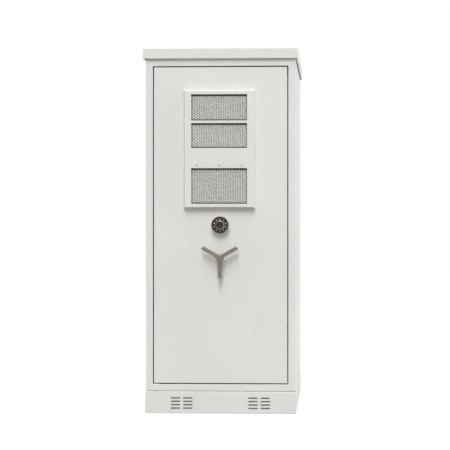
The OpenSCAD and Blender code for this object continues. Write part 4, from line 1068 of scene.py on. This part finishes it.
def flat_ring(name, inner, outer):
    """Square sheet on the ground with a square hole, or none where the inner size is 0."""
    rim = [(-outer, -outer, 0), (outer, -outer, 0), (outer, outer, 0), (-outer, outer, 0)]
    hole = [(x * inner / outer, y * inner / outer, 0) for x, y, _ in rim]
    mesh = bpy.data.meshes.new(name)
    if inner == 0:
        mesh.from_pydata(rim, [], [(0, 1, 2, 3)])
    else:
        sides = [(k, (k + 1) % 4, (k + 1) % 4 + 4, k + 4) for k in range(4)]
        mesh.from_pydata(rim + hole, [], sides)
    return mesh


def floor():
    """Pale floor, white but for the cabinet's shadow, round a darker patch of painted shade under the plinth."""
    pale, pale_surface = ground("floor", (0.24, 0.228, 0.205), (1.0, 1.0, 1.0), 0.82, 0.9)
    pale_surface.inputs["Specular IOR Level"].default_value = 0.0
    # Dim glow under the plinth: painted shade that keeps its slots dark
    bare, _ = ground("slab", (0.42, 0.41, 0.39), (1.0, 0.98, 0.94), 0.12, 0.95)
    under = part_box("plinth")[1].x - SHADED_FLOOR_INSET
    link("floor", flat_ring("floor", under, FLOOR_HALF_WIDTH), pale)
    link("slab", flat_ring("slab", 0, under), bare)


def world_light(level):
    """Even white surroundings: full white where they are seen, softer where they give light."""
    world = bpy.data.worlds.new("surroundings")
    bpy.context.scene.world = world
    world.use_nodes = True
    tree = world.node_tree
    sky = tree.nodes["Background"]
    sky.inputs["Color"].default_value = (1.0, 1.0, 1.0, 1.0)
    shown = map_range(tree, seen_directly(tree), 0.0, 1.0, level, 1.0)
    tree.links.new(shown, sky.inputs["Strength"])


def softbox(name, place, target, size, watts):
    """Square soft lamp aimed at a point, which leaves no glare on flat tops."""
    lamp = bpy.data.lights.new(name, "AREA")
    lamp.size = size
    lamp.energy = watts
    holder = link(name, lamp)
    holder.location = place
    holder.visible_glossy = False
    aim = Vector(target) - Vector(place)
    holder.rotation_euler = aim.to_track_quat("-Z", "Y").to_euler()


def sun(name, height, turn, spread, strength):
    """Even, slightly soft light from the front: height and turn to the right in degrees."""
    lamp = bpy.data.lights.new(name, "SUN")
    lamp.angle = math.radians(spread)
    lamp.energy = strength
    holder = link(name, lamp)
    holder.rotation_euler = (math.radians(90 - height), 0.0, math.radians(turn))


def camera():
    """Long lens at half height, a little to the right, shifted to keep the front square."""
    lens = bpy.data.cameras.new("camera")
    lens.sensor_width = 36.0
    lens.lens = 82.4
    lens.shift_x = -0.1789
    lens.clip_end = 100.0
    holder = link("camera", lens)
    holder.location = (0.554, -5.453, 0.9325)
    holder.rotation_euler = (math.pi / 2, 0.0, math.radians(1.5))
    bpy.context.scene.camera = holder


floor()
world_light(0.645)
sun("low_key", height=44, turn=-2, spread=18, strength=1.05)
sun("middle_key", height=57, turn=-2, spread=20, strength=0.82)
sun("high_key", height=68, turn=-2, spread=22, strength=0.66)
softbox("right_fill", place=(6.3, -0.5, 2.0), target=(0.37, 0.0, 0.95), size=3.0, watts=150)
softbox("back_fill", place=(-3.5, 6.0, 3.0), target=(0.0, 0.37, 0.95), size=3.0, watts=190)
camera()
bpy.context.scene.view_settings.view_transform = "Standard"
